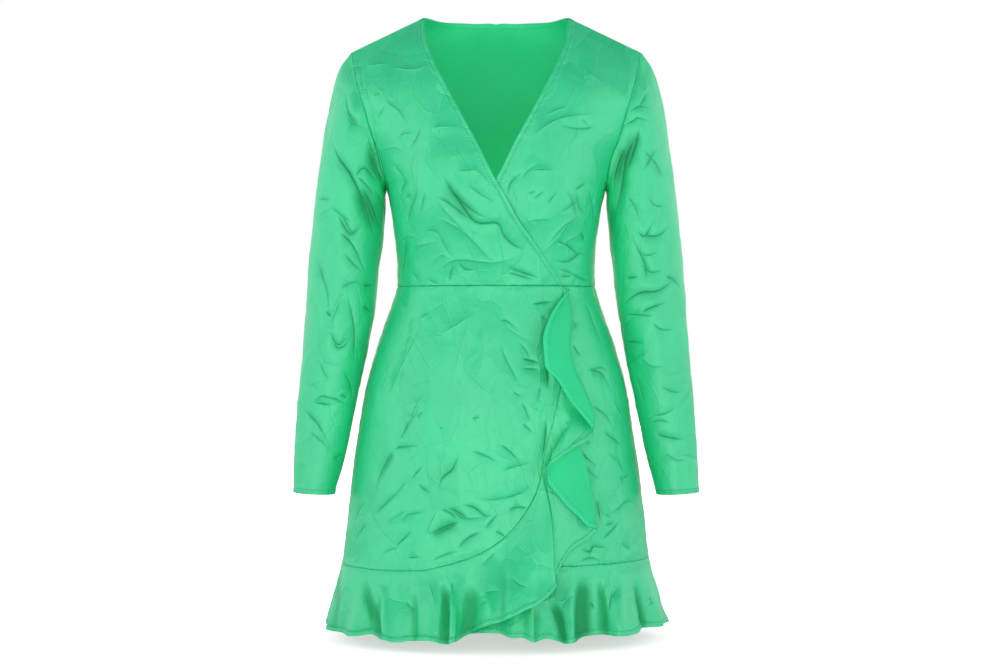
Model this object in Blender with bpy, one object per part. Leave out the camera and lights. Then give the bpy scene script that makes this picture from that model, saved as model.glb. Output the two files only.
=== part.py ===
"""Satin wrap dress, hollow, in the form it takes on its wearer.

Metres, +Z up, front to -Y, +X to the wearer's left. The origin is between the two neck points, where the
shoulder seams begin. The right front wraps over the left, in the bodice and in the skirt, and a flounce runs
round the hem and up the wrapped edge, where it falls in folds. Every piece of cloth is a wall of its own,
drawn on one body form and set half a seam gap away from its neighbours.

Two ways of placing a point are used. On the skirt, turn is the angle round the body in degrees, 0 at centre
front, -90 and 90 at the side seams and 180 at centre back, and lift is how far the cloth stands off the form.
On the bodice, rise goes from 0 at the waist to 1 at the shoulder seam and across from -1 to 1 between its
sides.
"""

import bmesh
import bpy
import numpy as np

WALL = 0.0012  # thickness of the cloth's wall
SEAM_GAP = 0.0003  # between two pieces that are sewn together
WRAP_LAYER = 0.0026  # how far the over front stands off the under front
WAIST_Z = -0.3746
UNDER_EDGE_X = -0.0908  # the under front's own edge, hidden behind the over front
WRAP_START_X = -0.13  # where the over front begins to leave the layer of the side seam
WRAP_START_Z = -0.17  # and the height, at its neck edge
WRAP_RUN = {"x": 0.035, "z": 0.04}  # how far it takes to do so
HEM_Z_RIGHT = -0.757  # flounce seam at the wearer's right side seam
HEM_Z_LEFT = -0.748

SECTION_FULLNESS = 0.2  # how much fuller a level section is than an oval
SHOULDER_ROUNDING = 0.2  # how gently the fall to the side starts from the middle
SLEEVE_CAP = 0.32  # the share of the sleeve that leads from the armhole's shape to an oval
FLOUNCE_NEAR = {"fall": 0.3, "lift": 0.25}  # how soon a flounce's line leaves its seam
FLOUNCE_BEND_LIFT = 0.55  # of the hem's own lift, half way down a flounce

BODICE_ROWS_BELOW_ARM = 8
ARMHOLE_STEPS = 8
FRONT_COLUMNS = 12
BACK_COLUMNS = 22
BACK_NECK_COLUMN_SHARE = 0.45
SLEEVE_RINGS = 18
SLEEVE_RING_CROWDING = 1.15  # rings lie closer together near the armhole
SKIRT_ROWS = 15
SKIRT_FRONT_COLUMNS = 19
SKIRT_UNDER_COLUMNS = 14
SKIRT_BACK_COLUMNS = 22
FLOUNCE_ROWS = 5
CASCADE_ROWS = 10
CASCADE_LINES = 2  # for each row of its table
WAVE_LINES = 4
HALVINGS = 40
ON_SEAM = 1e-5
SHARP_EDGE = 40  # degrees


def table(columns, rows):
    """A table whose columns are read by name."""
    return dict(zip(columns.split(), np.array(rows, float).T))


# Level sections of the skirt and the flounce's root, from the waist down.
SKIRT_FORM = table("z half_width front back", [
    (-0.3746, 0.1370, 0.0880, 0.0820),
    (-0.3860, 0.1400, 0.0895, 0.0850),
    (-0.4066, 0.1470, 0.0940, 0.0920),
    (-0.4483, 0.1620, 0.1020, 0.1070),
    (-0.4900, 0.1745, 0.1080, 0.1180),
    (-0.5317, 0.1840, 0.1120, 0.1250),
    (-0.5730, 0.1900, 0.1150, 0.1290),
    (-0.6151, 0.1967, 0.1180, 0.1330),
    (-0.6570, 0.2020, 0.1210, 0.1360),
    (-0.6985, 0.2064, 0.1235, 0.1380),
    (-0.7400, 0.2110, 0.1260, 0.1400),
    (-0.7610, 0.2148, 0.1280, 0.1420),
    (-0.7820, 0.2210, 0.1330, 0.1470),
    (-0.8030, 0.2266, 0.1390, 0.1520),
    (-0.8450, 0.2377, 0.1500, 0.1630),
    (-0.8700, 0.2440, 0.1560, 0.1690),
])

# The bodice: the line down its middle, and its side seam with the armhole above it. turn is the angle that
# the section turns through between the middle and that line.
FRONT_CENTRE = table("rise y z", [
    (0.00, -0.088, -0.3746),
    (0.20, -0.103, -0.3208),
    (0.45, -0.119, -0.2520),
    (0.65, -0.112, -0.1750),
    (0.80, -0.092, -0.0980),
    (0.92, -0.050, -0.0150),
    (1.00, 0.000, 0.0338),
])
FRONT_SIDE = table("rise x y z turn", [
    (0.00, 0.1370, 0.000, -0.3746, 90),
    (0.10, 0.1370, 0.000, -0.3477, 90),
    (0.20, 0.1385, 0.000, -0.3208, 90),
    (0.30, 0.1418, 0.000, -0.2939, 90),
    (0.40, 0.1460, 0.000, -0.2670, 90),
    (0.50, 0.1515, 0.000, -0.2400, 90),
    (0.55, 0.1530, -0.028, -0.2270, 80),
    (0.60, 0.1560, -0.042, -0.2070, 70),
    (0.70, 0.1700, -0.052, -0.1670, 57),
    (0.80, 0.1810, -0.052, -0.1290, 49),
    (0.90, 0.1910, -0.035, -0.0930, 41),
    (1.00, 0.2000, 0.000, -0.0480, 30),
])
BACK_CENTRE = table("rise y z", [
    (0.00, 0.082, -0.3746),
    (0.22, 0.090, -0.3150),
    (0.45, 0.105, -0.2400),
    (0.66, 0.108, -0.1500),
    (0.82, 0.096, -0.0700),
    (0.92, 0.060, -0.0010),
    (0.94, 0.059, 0.0035),
    (0.96, 0.055, 0.0120),
    (0.98, 0.044, 0.0215),
    (1.00, 0.000, 0.0338),
])
BACK_SIDE = table("rise x y z turn", [
    (0.00, 0.1370, 0.000, -0.3746, 90),
    (0.10, 0.1370, 0.000, -0.3477, 90),
    (0.20, 0.1385, 0.000, -0.3208, 90),
    (0.30, 0.1418, 0.000, -0.2939, 90),
    (0.40, 0.1460, 0.000, -0.2670, 90),
    (0.50, 0.1515, 0.000, -0.2400, 90),
    (0.55, 0.1530, 0.030, -0.2290, 80),
    (0.60, 0.1570, 0.045, -0.2110, 70),
    (0.70, 0.1680, 0.058, -0.1780, 57),
    (0.80, 0.1790, 0.061, -0.1450, 49),
    (0.90, 0.1900, 0.046, -0.1000, 41),
    (1.00, 0.2000, 0.000, -0.0480, 30),
])
FRONT = {"centre": FRONT_CENTRE, "side": FRONT_SIDE}
BACK = {"centre": BACK_CENTRE, "side": BACK_SIDE}
BACK_NECK_RISE = 0.92  # of the back's neckline at its middle
BACK_NECK_ACROSS = 0.4826  # where the neckline meets the shoulder seam
BUST = {"x": 0.078, "z": -0.245, "half_width": 0.07, "half_height": 0.115, "height": 0.009}

# The over front's neck edge, from the neck point across to the waist.
NECK_EDGE = table("z x", [
    (0.0000, -0.1000),
    (-0.0295, -0.0969),
    (-0.0770, -0.0802),
    (-0.1160, -0.0606),
    (-0.1500, -0.0430),
    (-0.1820, -0.0257),
    (-0.2307, -0.0017),
    (-0.2567, 0.0138),
    (-0.2883, 0.0312),
    (-0.3127, 0.0486),
    (-0.3385, 0.0662),
    (-0.3746, 0.0908),
])

# The over skirt's sewn edge: down the wrap, round the corner and along the hem to the side seam.
SKIRT_EDGE = table("turn z", [
    (41.4, -0.3746),
    (33.2, -0.4481),
    (28.7, -0.5139),
    (25.2, -0.5455),
    (22.8, -0.5686),
    (20.9, -0.5860),
    (19.4, -0.6030),
    (18.2, -0.6218),
    (17.3, -0.6345),
    (15.5, -0.6524),
    (11.8, -0.6748),
    (6.0, -0.7013),
    (1.6, -0.7158),
    (-3.3, -0.7278),
    (-13.7, -0.7438),
    (-20.2, -0.7500),
    (-27.0, -0.7555),
    (-42.0, -0.7575),
    (-59.0, -0.7570),
    (-90.0, -0.7570),
])
CORNER_TURN = 18.2  # where the wrapped edge becomes the hem

# The flounce down the wrapped edge. Each row is one line across it: it leaves the seam towards near_turn,
# rolls over a bend and ends at the free edge; along is the distance down the seam. The free edge swings left
# and right, so the cloth shows its wrong side, its right side, its wrong side again and then its right side
# down to the hem.
CASCADE = table("along near_turn bend_turn bend_z bend_lift edge_turn edge_z edge_lift", [
    (0.000, 43.9, 43.9, -0.380, 0.003, 44.5, -0.379, 0.004),
    (0.018, 44.0, 44.0, -0.396, 0.008, 34.5, -0.396, 0.010),
    (0.040, 42.5, 42.5, -0.420, 0.014, 26.5, -0.419, 0.014),
    (0.066, 38.0, 38.0, -0.449, 0.018, 21.7, -0.450, 0.016),
    (0.090, 37.5, 37.5, -0.478, 0.020, 21.3, -0.481, 0.016),
    (0.109, 40.0, 40.0, -0.506, 0.022, 26.4, -0.503, 0.018),
    (0.124, 43.0, 43.0, -0.528, 0.024, 30.3, -0.529, 0.021),
    (0.135, 44.5, 44.5, -0.548, 0.024, 35.4, -0.550, 0.022),
    (0.144, 43.0, 43.0, -0.560, 0.018, 39.8, -0.570, 0.018),
    (0.152, 41.0, 39.0, -0.558, 0.013, 37.5, -0.581, 0.018),
    (0.158, 38.0, 32.5, -0.556, 0.015, 30.0, -0.592, 0.024),
    (0.165, 36.5, 26.5, -0.560, 0.022, 23.2, -0.606, 0.028),
    (0.170, 36.0, 24.6, -0.568, 0.019, 19.4, -0.617, 0.024),
    (0.176, 37.0, 27.5, -0.583, 0.014, 19.5, -0.636, 0.015),
    (0.183, 38.0, 33.0, -0.592, 0.014, 22.8, -0.652, 0.014),
    (0.191, 39.5, 37.5, -0.597, 0.015, 26.3, -0.668, 0.014),
    (0.199, 40.5, 38.5, -0.613, 0.016, 30.9, -0.683, 0.014),
    (0.209, 41.5, 40.0, -0.640, 0.014, 35.0, -0.697, 0.016),
    (0.219, 40.0, 39.0, -0.650, 0.008, 39.4, -0.701, 0.010),
    (0.228, 33.8, 33.8, -0.650, 0.004, 36.5, -0.713, 0.004),
    (0.237, 27.4, 27.2, -0.670, 0.004, 28.6, -0.728, 0.005),
    (0.245, 23.8, 23.4, -0.680, 0.004, 24.6, -0.745, 0.006),
    (0.253, 22.4, 21.8, -0.690, 0.005, 21.4, -0.762, 0.009),
    (0.260, 21.2, 20.6, -0.690, 0.020, 20.0, -0.774, 0.028),
    (0.271, 18.0, 17.8, -0.700, 0.024, 17.0, -0.785, 0.033),
    (0.284, 14.4, 14.4, -0.720, 0.025, 13.0, -0.796, 0.034),
    (0.309, 10.7, 10.7, -0.735, 0.026, 9.4, -0.802, 0.034),
    (0.342, 5.9, 5.9, -0.752, 0.026, 5.8, -0.809, 0.034),
    (0.363, 0.8, 0.8, -0.764, 0.024, 0.5, -0.818, 0.034),
    (0.385, -3.2, -3.2, -0.772, 0.020, -3.2, -0.823, 0.030),
])
# The waves of the hem: the crests and troughs of its free edge, in order round the body.
OVER_WAVES = table("turn z lift", [
    (-8.8, -0.836, 0.003),
    (-12.0, -0.844, 0.010),
    (-14.6, -0.847, 0.016),
    (-17.0, -0.848, 0.008),
    (-21.4, -0.844, 0.014),
    (-27.3, -0.846, 0.004),
    (-33.0, -0.848, 0.013),
    (-39.4, -0.845, 0.009),
    (-45.6, -0.842, -0.005),
    (-53.0, -0.845, 0.009),
    (-62.0, -0.844, -0.002),
    (-72.0, -0.843, 0.006),
    (-81.0, -0.842, -0.003),
    (-90.0, -0.841, 0.000),
])
UNDER_WAVES = table("turn z lift", [
    (-20.0, -0.838, -0.006),
    (-12.0, -0.838, -0.008),
    (-4.0, -0.836, -0.003),
    (1.0, -0.836, 0.000),
    (5.2, -0.841, 0.009),
    (8.5, -0.841, 0.003),
    (12.0, -0.846, 0.011),
    (16.5, -0.843, 0.002),
    (23.5, -0.848, 0.014),
    (32.0, -0.842, -0.008),
    (37.0, -0.841, -0.008),
    (44.0, -0.843, 0.009),
    (51.0, -0.841, 0.008),
    (59.6, -0.837, -0.005),
    (69.0, -0.838, 0.005),
    (79.0, -0.839, -0.004),
    (90.0, -0.841, 0.000),
])
BACK_WAVES = table("turn z lift", [
    (90.0, -0.841, 0.000),
    (99.0, -0.843, 0.008),
    (107.0, -0.841, -0.006),
    (117.0, -0.846, 0.011),
    (127.0, -0.842, -0.004),
    (136.0, -0.845, 0.010),
    (145.0, -0.841, -0.008),
    (156.0, -0.847, 0.013),
    (167.0, -0.843, -0.003),
    (175.0, -0.845, 0.009),
    (184.0, -0.842, -0.007),
    (194.0, -0.847, 0.012),
    (203.0, -0.843, -0.002),
    (212.0, -0.845, 0.009),
    (222.0, -0.841, -0.008),
    (233.0, -0.847, 0.012),
    (243.0, -0.842, -0.005),
    (252.0, -0.844, 0.009),
    (261.0, -0.842, -0.005),
    (270.0, -0.841, 0.000),
])

# Rings of the right sleeve, from the armhole to the cuff: its outer and inner line as seen from the front,
# and the middle and half depth of the ring from front to back. x is the distance from the body's middle.
SLEEVE = table("ring outer_x outer_z inner_x inner_z middle_y half_depth", [
    (0.00, 0.2000, -0.0480, 0.1515, -0.2400, 0.005, 0.0570),
    (0.05, 0.2182, -0.0730, 0.1540, -0.2505, 0.004, 0.0585),
    (0.10, 0.2307, -0.1150, 0.1538, -0.2620, 0.004, 0.0590),
    (0.20, 0.2415, -0.1750, 0.1550, -0.2850, 0.003, 0.0600),
    (0.30, 0.2497, -0.2350, 0.1577, -0.3150, 0.002, 0.0590),
    (0.40, 0.2554, -0.2930, 0.1630, -0.3520, 0.000, 0.0560),
    (0.50, 0.2603, -0.3520, 0.1673, -0.3980, -0.003, 0.0530),
    (0.60, 0.2643, -0.4100, 0.1747, -0.4450, -0.006, 0.0500),
    (0.70, 0.2690, -0.4700, 0.1845, -0.4950, -0.010, 0.0470),
    (0.80, 0.2739, -0.5350, 0.1966, -0.5520, -0.013, 0.0430),
    (0.90, 0.2777, -0.5980, 0.2083, -0.6080, -0.017, 0.0400),
    (1.00, 0.2797, -0.6575, 0.2216, -0.6608, -0.020, 0.0370),
])

SATIN_GREEN = (0.085, 0.62, 0.30, 1.0)
SATIN_ROUGHNESS = 0.42


def smooth(knots, values, at):
    """The values at the given places, on a smooth curve through the knots that never overshoots them."""
    at = np.clip(at, knots[0], knots[-1])
    step = np.diff(knots)
    rise = np.diff(values) / step
    near, far = rise[:-1], rise[1:]
    turning = near * far <= 0
    near, far = np.where(turning, 1, near), np.where(turning, 1, far)
    weight_near = 2 * step[1:] + step[:-1]
    weight_far = step[1:] + 2 * step[:-1]
    mean = (weight_near + weight_far) / (weight_near / near + weight_far / far)
    slope = np.concatenate([rise[:1], np.where(turning, 0, mean), rise[-1:]])
    i = np.clip(np.searchsorted(knots, at, side="right") - 1, 0, len(step) - 1)
    t = (at - knots[i]) / step[i]
    ends = values[i] * (1 + 2 * t) * (1 - t) ** 2 + values[i + 1] * t * t * (3 - 2 * t)
    return ends + step[i] * (slope[i] * t * (1 - t) ** 2 - slope[i + 1] * t * t * (1 - t))


def read(rows, key, at, *columns):
    """The named columns of a table where its key column has the given values. The key may run either way."""
    knots = rows[key]
    way = 1 if knots[-1] > knots[0] else -1
    return [smooth(way * knots, rows[column], way * np.asarray(at, float)) for column in columns]


def ease(share):
    share = np.clip(share, 0, 1)
    return share * share * (3 - 2 * share)


def unit(vectors):
    return vectors / np.linalg.norm(vectors, axis=-1, keepdims=True)


def rounding(angle):
    """How far a level section stands out at an angle from its middle: 1 in the middle, 0 at the side."""
    return np.cos(angle) * (1 + SECTION_FULLNESS * np.sin(angle) ** 2)


def skirt_form(turn, z):
    half_width, front, back = read(SKIRT_FORM, "z", z, "half_width", "front", "back")
    angle = np.radians(turn)
    depth = np.where(np.cos(angle) > 0, front, back)
    return np.stack([half_width * np.sin(angle), -depth * rounding(angle), z + 0 * angle], axis=-1)


def lifted(turn, z, lift, over=False):
    """A point off the skirt's form. On the over layer the wrap's own thickness is added."""
    point = skirt_form(turn, z)
    along = skirt_form(turn + 0.5, z) - skirt_form(turn - 0.5, z)
    outward = unit(np.stack([-along[..., 1], along[..., 0], 0 * along[..., 0]], axis=-1)) * -1
    if over:
        lift = lift + wrap_layer(point[..., 0])
    return point + outward * np.asarray(lift)[..., None]


def wrap_layer(x):
    """The over front lies on the side seam's layer at its side, and off the under front where they wrap."""
    return WRAP_LAYER * ease((x - WRAP_START_X) / WRAP_RUN["x"])


def grid_normals(points, ring=False):
    """Outward unit normals of a grid of points. A ring's columns go all the way round."""
    if ring:
        closed = np.concatenate([points[:, -1:], points, points[:, :1]], axis=1)
        across = (closed[:, 2:] - closed[:, :-2]) / 2
    else:
        across = np.gradient(points, axis=1)
    normals = unit(np.cross(across, np.gradient(points, axis=0)))
    middle = points.mean(axis=(0, 1)) if ring else np.array([0, 0, 0])
    radial = (points - middle) * (1, 1, 0)
    return normals if (normals * radial).sum() > 0 else -normals


def wall(points, ring=False):
    """The inner face of a piece. Seams between front and back lie in the plane y = 0 and end square to it."""
    normals = grid_normals(points, ring)
    on_seam = np.abs(points[..., 1]) < ON_SEAM
    if not ring:
        normals[on_seam] = unit(normals[on_seam] * (1, 0, 1))
    return points - WALL * normals


def cloth(name, outer, inner, offset=(0, 0, 0), ring=False):
    """One closed piece of cloth between two grids of points, moved by its share of the seam gaps."""
    rows, columns = outer.shape[:2]
    points = np.concatenate([outer.reshape(-1, 3), inner.reshape(-1, 3)]) + offset
    back_face = rows * columns
    mesh = bmesh.new()
    corners = [mesh.verts.new(point) for point in points]

    def face(*indices):
        mesh.faces.new([corners[i] for i in indices])

    for row in range(rows - 1):
        for column in range(columns if ring else columns - 1):
            a, b = row * columns + column, row * columns + (column + 1) % columns
            c, d = b + columns, a + columns
            if np.linalg.norm(points[a] - points[c]) < np.linalg.norm(points[b] - points[d]):
                halves = (a, b, c), (a, c, d)
            else:
                halves = (a, b, d), (b, c, d)
            for half in halves:
                face(*half)
                face(*[i + back_face for i in reversed(half)])
    first_row = list(range(columns))
    last_row = [(rows - 1) * columns + column for column in range(columns)]
    rims = [first_row, last_row]
    if ring:
        rims = [rim + rim[:1] for rim in rims]
    else:
        rims += [[row * columns + side for row in range(rows)] for side in (0, columns - 1)]
    for rim in rims:
        for a, b in zip(rim, rim[1:]):
            face(a, b, b + back_face)
            face(a, b + back_face, a + back_face)
    bmesh.ops.recalc_face_normals(mesh, faces=mesh.faces)
    data = bpy.data.meshes.new(name)
    mesh.to_mesh(data)
    mesh.free()
    data.shade_smooth()
    data.set_sharp_from_angle(angle=np.radians(SHARP_EDGE))
    data.materials.append(satin())
    piece = bpy.data.objects.new(name, data)
    bpy.context.scene.collection.objects.link(piece)
    return piece


def satin():
    material = bpy.data.materials.get("green_satin")
    if material is None:
        material = bpy.data.materials.new("green_satin")
        material.use_nodes = True
        shader = material.node_tree.nodes["Principled BSDF"]
        shader.inputs["Base Color"].default_value = SATIN_GREEN
        shader.inputs["Roughness"].default_value = SATIN_ROUGHNESS
    return material


def seam_offset(front, below_waist=False, below_hem=False):
    """A piece's share of the seam gaps: away from the other half at the sides, and down past each seam."""
    half = SEAM_GAP / 2
    down = 3 * half if below_hem else half if below_waist else -half
    return np.array([0, -half if front else half, -down])


def bodice_rises():
    below = np.linspace(0, 0.5, BODICE_ROWS_BELOW_ARM + 1)
    return np.concatenate([below, np.linspace(0.5, 1, ARMHOLE_STEPS + 1)[1:]])


def bodice_form(half, rise, across):
    middle_y, middle_z = read(half["centre"], "rise", rise, "y", "z")
    side_x, side_y, side_z, turn = read(half["side"], "rise", rise, "x", "y", "z", "turn")
    turn = np.radians(turn)
    share = np.sin(across * turn) / np.sin(turn)
    stands_out = (rounding(across * turn) - rounding(turn)) / (1 - rounding(turn))
    falls = np.hypot(share, SHOULDER_ROUNDING) - SHOULDER_ROUNDING
    falls = falls / (np.hypot(1, SHOULDER_ROUNDING) - SHOULDER_ROUNDING)
    return np.stack([
        side_x * share,
        side_y + (middle_y - side_y) * stands_out,
        middle_z + (side_z - middle_z) * falls,
    ], axis=-1)


def neck_across(rise):
    """Where the neck edge of the right front lies, at each rise, found by halving."""
    low, high = -np.ones_like(rise), np.ones_like(rise)
    for _ in range(HALVINGS):
        middle = (low + high) / 2
        point = bodice_form(FRONT, rise, middle)
        (edge_x,) = read(NECK_EDGE, "z", point[..., 2], "x")
        inside = point[..., 0] < edge_x
        low, high = np.where(inside, middle, low), np.where(inside, high, middle)
    return low


def with_bust(points):
    """The front eased over the bust by its darts, one low mound a side."""
    x, z = np.abs(points[..., 0]) - BUST["x"], points[..., 2] - BUST["z"]
    reach = np.clip(1 - (x / BUST["half_width"]) ** 2 - (z / BUST["half_height"]) ** 2, 0, 1)
    points[..., 1] -= BUST["height"] * reach**2
    return points


def bodice_front(over):
    """The right front, or the left one as its mirror image, which lies under it."""
    rises = bodice_rises()[:, None]
    reach = neck_across(rises)
    across = -1 + np.linspace(0, 1, FRONT_COLUMNS) * (reach + 1)
    points = with_bust(bodice_form(FRONT, rises + 0 * across, across))
    if over:
        layer = wrap_layer(points[..., 0]) * ease((WRAP_START_Z - points[..., 2]) / WRAP_RUN["z"])
        level = unit(grid_normals(points) * (1, 1, 0))
        points = points + level * layer[..., None]
    if not over:
        points = points[:, ::-1] * (-1, 1, 1)
    name = "bodice_front_right" if over else "bodice_front_left"
    cloth(name, points, wall(points), seam_offset(front=True))
    return points


def bodice_back():
    half = np.linspace(0, 1, BACK_COLUMNS // 2 + 1)
    neck_columns = round(len(half) * BACK_NECK_COLUMN_SHARE)
    half = np.concatenate([
        np.linspace(0, BACK_NECK_ACROSS, neck_columns + 1),
        np.linspace(BACK_NECK_ACROSS, 1, len(half) - neck_columns)[1:],
    ])
    across = np.concatenate([-half[:0:-1], half])
    top = BACK_NECK_RISE + (1 - BACK_NECK_RISE) * np.clip(np.abs(across) / BACK_NECK_ACROSS, 0, 1)
    rise = bodice_rises()[:, None] * top
    points = bodice_form(BACK, rise, across + 0 * rise)
    cloth("bodice_back", points, wall(points), seam_offset(front=False))
    return points


def armhole_loop(front, back):
    """The armhole's points from the shoulder down the front and up the back, from the two bodice edges."""
    down = (front[BODICE_ROWS_BELOW_ARM:, 0] + seam_offset(front=True))[::-1]
    up = back[BODICE_ROWS_BELOW_ARM:, 0] + seam_offset(front=False)
    shoulder, armpit = (down[0] + up[-1]) / 2, (down[-1] + up[0]) / 2
    return np.concatenate([[shoulder], down[1:-1], [armpit], up[1:-1]])


def sleeves(front, back):
    """Both sleeves: rings that start on the armhole's own points and become level ovals down the arm."""
    loop = armhole_loop(front, back)
    top, front_most, lowest, back_most = loop[:: ARMHOLE_STEPS // 2]
    away = unit(np.cross(back_most - front_most, top - lowest))
    loop = loop + away * SEAM_GAP * -np.sign(away[0])
    rings = np.linspace(0, 1, SLEEVE_RINGS)[:, None] ** SLEEVE_RING_CROWDING
    angle = np.arange(len(loop)) * 2 * np.pi / len(loop)
    outer_x, outer_z, inner_x, inner_z, middle_y, half_depth = read(
        SLEEVE, "ring", rings, "outer_x", "outer_z", "inner_x", "inner_z", "middle_y", "half_depth"
    )
    x = -((outer_x + inner_x) + (outer_x - inner_x) * np.cos(angle)) / 2
    z = ((outer_z + inner_z) + (outer_z - inner_z) * np.cos(angle)) / 2
    ovals = np.stack([x, middle_y - half_depth * np.sin(angle), z], axis=-1)
    to_armhole = (loop - ovals[0]) * (1 - ease(rings / SLEEVE_CAP))[..., None]
    outer = ovals + to_armhole
    inner = wall(outer, ring=True)
    inner[0] = loop + WALL * unit(loop.mean(axis=0) - loop)
    cloth("sleeve_right", outer, inner, ring=True)
    mirror = (-1, 1, 1)
    cloth("sleeve_left", outer * mirror, inner * mirror, ring=True)


def skirt_edge_lengths():
    """How far along the over skirt's sewn edge each row of its table lies."""
    points = skirt_form(SKIRT_EDGE["turn"], SKIRT_EDGE["z"])
    steps = np.linalg.norm(np.diff(points, axis=0), axis=1)
    return np.concatenate([[0], np.cumsum(steps)])


def skirt_edge(along):
    lengths = skirt_edge_lengths()
    return [smooth(lengths, SKIRT_EDGE[column], np.asarray(along, float)) for column in ("turn", "z")]


def along_at(turn):
    """How far along its seam the flounce meets the skirt at a turn, on the hem."""
    return np.interp(-np.asarray(turn, float), -SKIRT_EDGE["turn"], skirt_edge_lengths())


def hem_z(turn):
    """The height of the flounce's seam round the under front and the back."""
    return HEM_Z_LEFT + (HEM_Z_RIGHT - HEM_Z_LEFT) * (1 - np.cos(np.radians(np.asarray(turn) - 90))) / 2


def skirt_front_over():
    """The right front skirt, as a patch between its waist, side seam, wrapped edge and hem."""
    across, down = np.linspace(0, 1, SKIRT_FRONT_COLUMNS), np.linspace(0, 1, SKIRT_ROWS)[:, None]
    corner, end = along_at(CORNER_TURN), skirt_edge_lengths()[-1]
    wrap, hem = np.array(skirt_edge(down * corner)), np.array(skirt_edge(end + (corner - end) * across))
    start = SKIRT_EDGE["turn"][0]
    waist = np.stack([-90 + (start + 90) * across, WAIST_Z + 0 * across])
    side = np.stack([-90 + 0 * down, WAIST_Z + (HEM_Z_RIGHT - WAIST_Z) * down])
    corners = [waist[:, :1], waist[:, -1:], hem[:, :1], hem[:, -1:]]
    top_left, top_right, low_left, low_right = [corner_point[:, None] for corner_point in corners]
    waist, hem = waist[:, None], hem[:, None]
    turn, z = (
        (1 - across) * side + across * wrap + (1 - down) * waist + down * hem
        - (1 - across) * ((1 - down) * top_left + down * low_left)
        - across * ((1 - down) * top_right + down * low_right)
    )
    points = lifted(turn, z, 0 * turn, over=True)
    cloth("skirt_front_right", points, wall(points), seam_offset(front=True, below_waist=True))


def skirt_front_under():
    down = np.linspace(0, 1, SKIRT_ROWS)[:, None]
    level = WAIST_Z + (HEM_Z_RIGHT - WAIST_Z) * down
    (half_width,) = read(SKIRT_FORM, "z", level, "half_width")
    hidden = np.degrees(np.arcsin(UNDER_EDGE_X / half_width))
    turn = hidden + (90 - hidden) * np.linspace(0, 1, SKIRT_UNDER_COLUMNS)
    z = WAIST_Z + (hem_z(turn) - WAIST_Z) * down
    points = lifted(turn, z, 0 * turn)
    cloth("skirt_front_left", points, wall(points), seam_offset(front=True, below_waist=True))


def skirt_back():
    turn = np.linspace(90, 270, SKIRT_BACK_COLUMNS)[None]
    z = WAIST_Z + (hem_z(turn) - WAIST_Z) * np.linspace(0, 1, SKIRT_ROWS)[:, None]
    points = lifted(turn + 0 * z, z, 0 * z)
    cloth("skirt_back", points, wall(points), seam_offset(front=False, below_waist=True))


def flounce_grid(seam, near_turn, bend, edge, rows, over=False):
    """Lines from the seam to the free edge, each a curve towards a bend, in turn, z and lift."""
    share = np.linspace(0, 1, rows)[:, None]
    seam, bend, edge = [np.array(np.broadcast_arrays(*place)) for place in (seam, bend, edge)]
    rising = np.minimum(bend[1], seam[1] + FLOUNCE_NEAR["fall"] * (bend[1] - seam[1]))
    near_bend = np.array([near_turn, rising, FLOUNCE_NEAR["lift"] * bend[2]])
    turn, z, lift = [
        seam[i] * (1 - share) ** 3 + near_bend[i] * 3 * share * (1 - share) ** 2
        + bend[i] * 3 * share**2 * (1 - share) + edge[i] * share**3
        for i in range(3)
    ]
    return lifted(turn, z, lift, over)


def hem_bend(seam_z, turn, z, lift):
    return turn, (seam_z + z) / 2, FLOUNCE_BEND_LIFT * lift


def flounce_over():
    """The right front's flounce, down the wrapped edge and round the hem to the side seam."""
    waves = OVER_WAVES
    along = np.concatenate([CASCADE["along"], along_at(waves["turn"])])
    seam_z = skirt_edge(along_at(waves["turn"]))[1]
    bend_of_waves = hem_bend(seam_z, waves["turn"], waves["z"], waves["lift"])
    columns = [along]
    of_waves = (waves["turn"], *bend_of_waves)
    for name, of_hem in zip(("near_turn", "bend_turn", "bend_z", "bend_lift"), of_waves):
        columns.append(np.concatenate([CASCADE[name], of_hem]))
    for name in ("turn", "z", "lift"):
        columns.append(np.concatenate([CASCADE["edge_" + name], waves[name]]))
    rows = np.arange(len(along))
    in_cascade = len(CASCADE["along"])
    hem_lines = (rows[-1] - in_cascade) * WAVE_LINES + 1
    lines = np.concatenate([
        np.arange(0, in_cascade, 1 / CASCADE_LINES),
        np.linspace(in_cascade, rows[-1], hem_lines),
    ])
    along, near_turn, *rest = [smooth(rows, column, lines) for column in columns]
    seam_turn, seam_z = skirt_edge(along)
    seam = (seam_turn, seam_z, 0)
    points = flounce_grid(seam, near_turn, rest[:3], rest[3:], CASCADE_ROWS, over=True)
    offset = seam_offset(front=True, below_hem=True) + (SEAM_GAP, 0, 0)
    cloth("flounce_front_right", points, wall(points), offset)


def flounce_level(name, waves, lines_a_wave, front):
    """A flounce that hangs from a level seam, with its waves from a table."""
    rows = np.arange(len(waves["turn"]))
    lines = np.linspace(0, rows[-1], rows[-1] * lines_a_wave + 1)
    turn, z, lift = [smooth(rows, waves[column], lines) for column in ("turn", "z", "lift")]
    seam_z = hem_z(turn)
    bend = hem_bend(seam_z, turn, z, lift)
    points = flounce_grid((turn, seam_z, 0), turn, bend, (turn, z, lift), FLOUNCE_ROWS)
    cloth(name, points, wall(points), seam_offset(front, below_hem=True))


def clear_scene():
    for old in list(bpy.data.objects):
        bpy.data.objects.remove(old, do_unlink=True)


def main():
    clear_scene()
    front = bodice_front(over=True)
    bodice_front(over=False)
    back = bodice_back()
    sleeves(front, back)
    skirt_front_over()
    skirt_front_under()
    skirt_back()
    flounce_over()
    flounce_level("flounce_front_left", UNDER_WAVES, WAVE_LINES - 1, front=True)
    flounce_level("flounce_back", BACK_WAVES, WAVE_LINES, front=False)


main()
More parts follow.
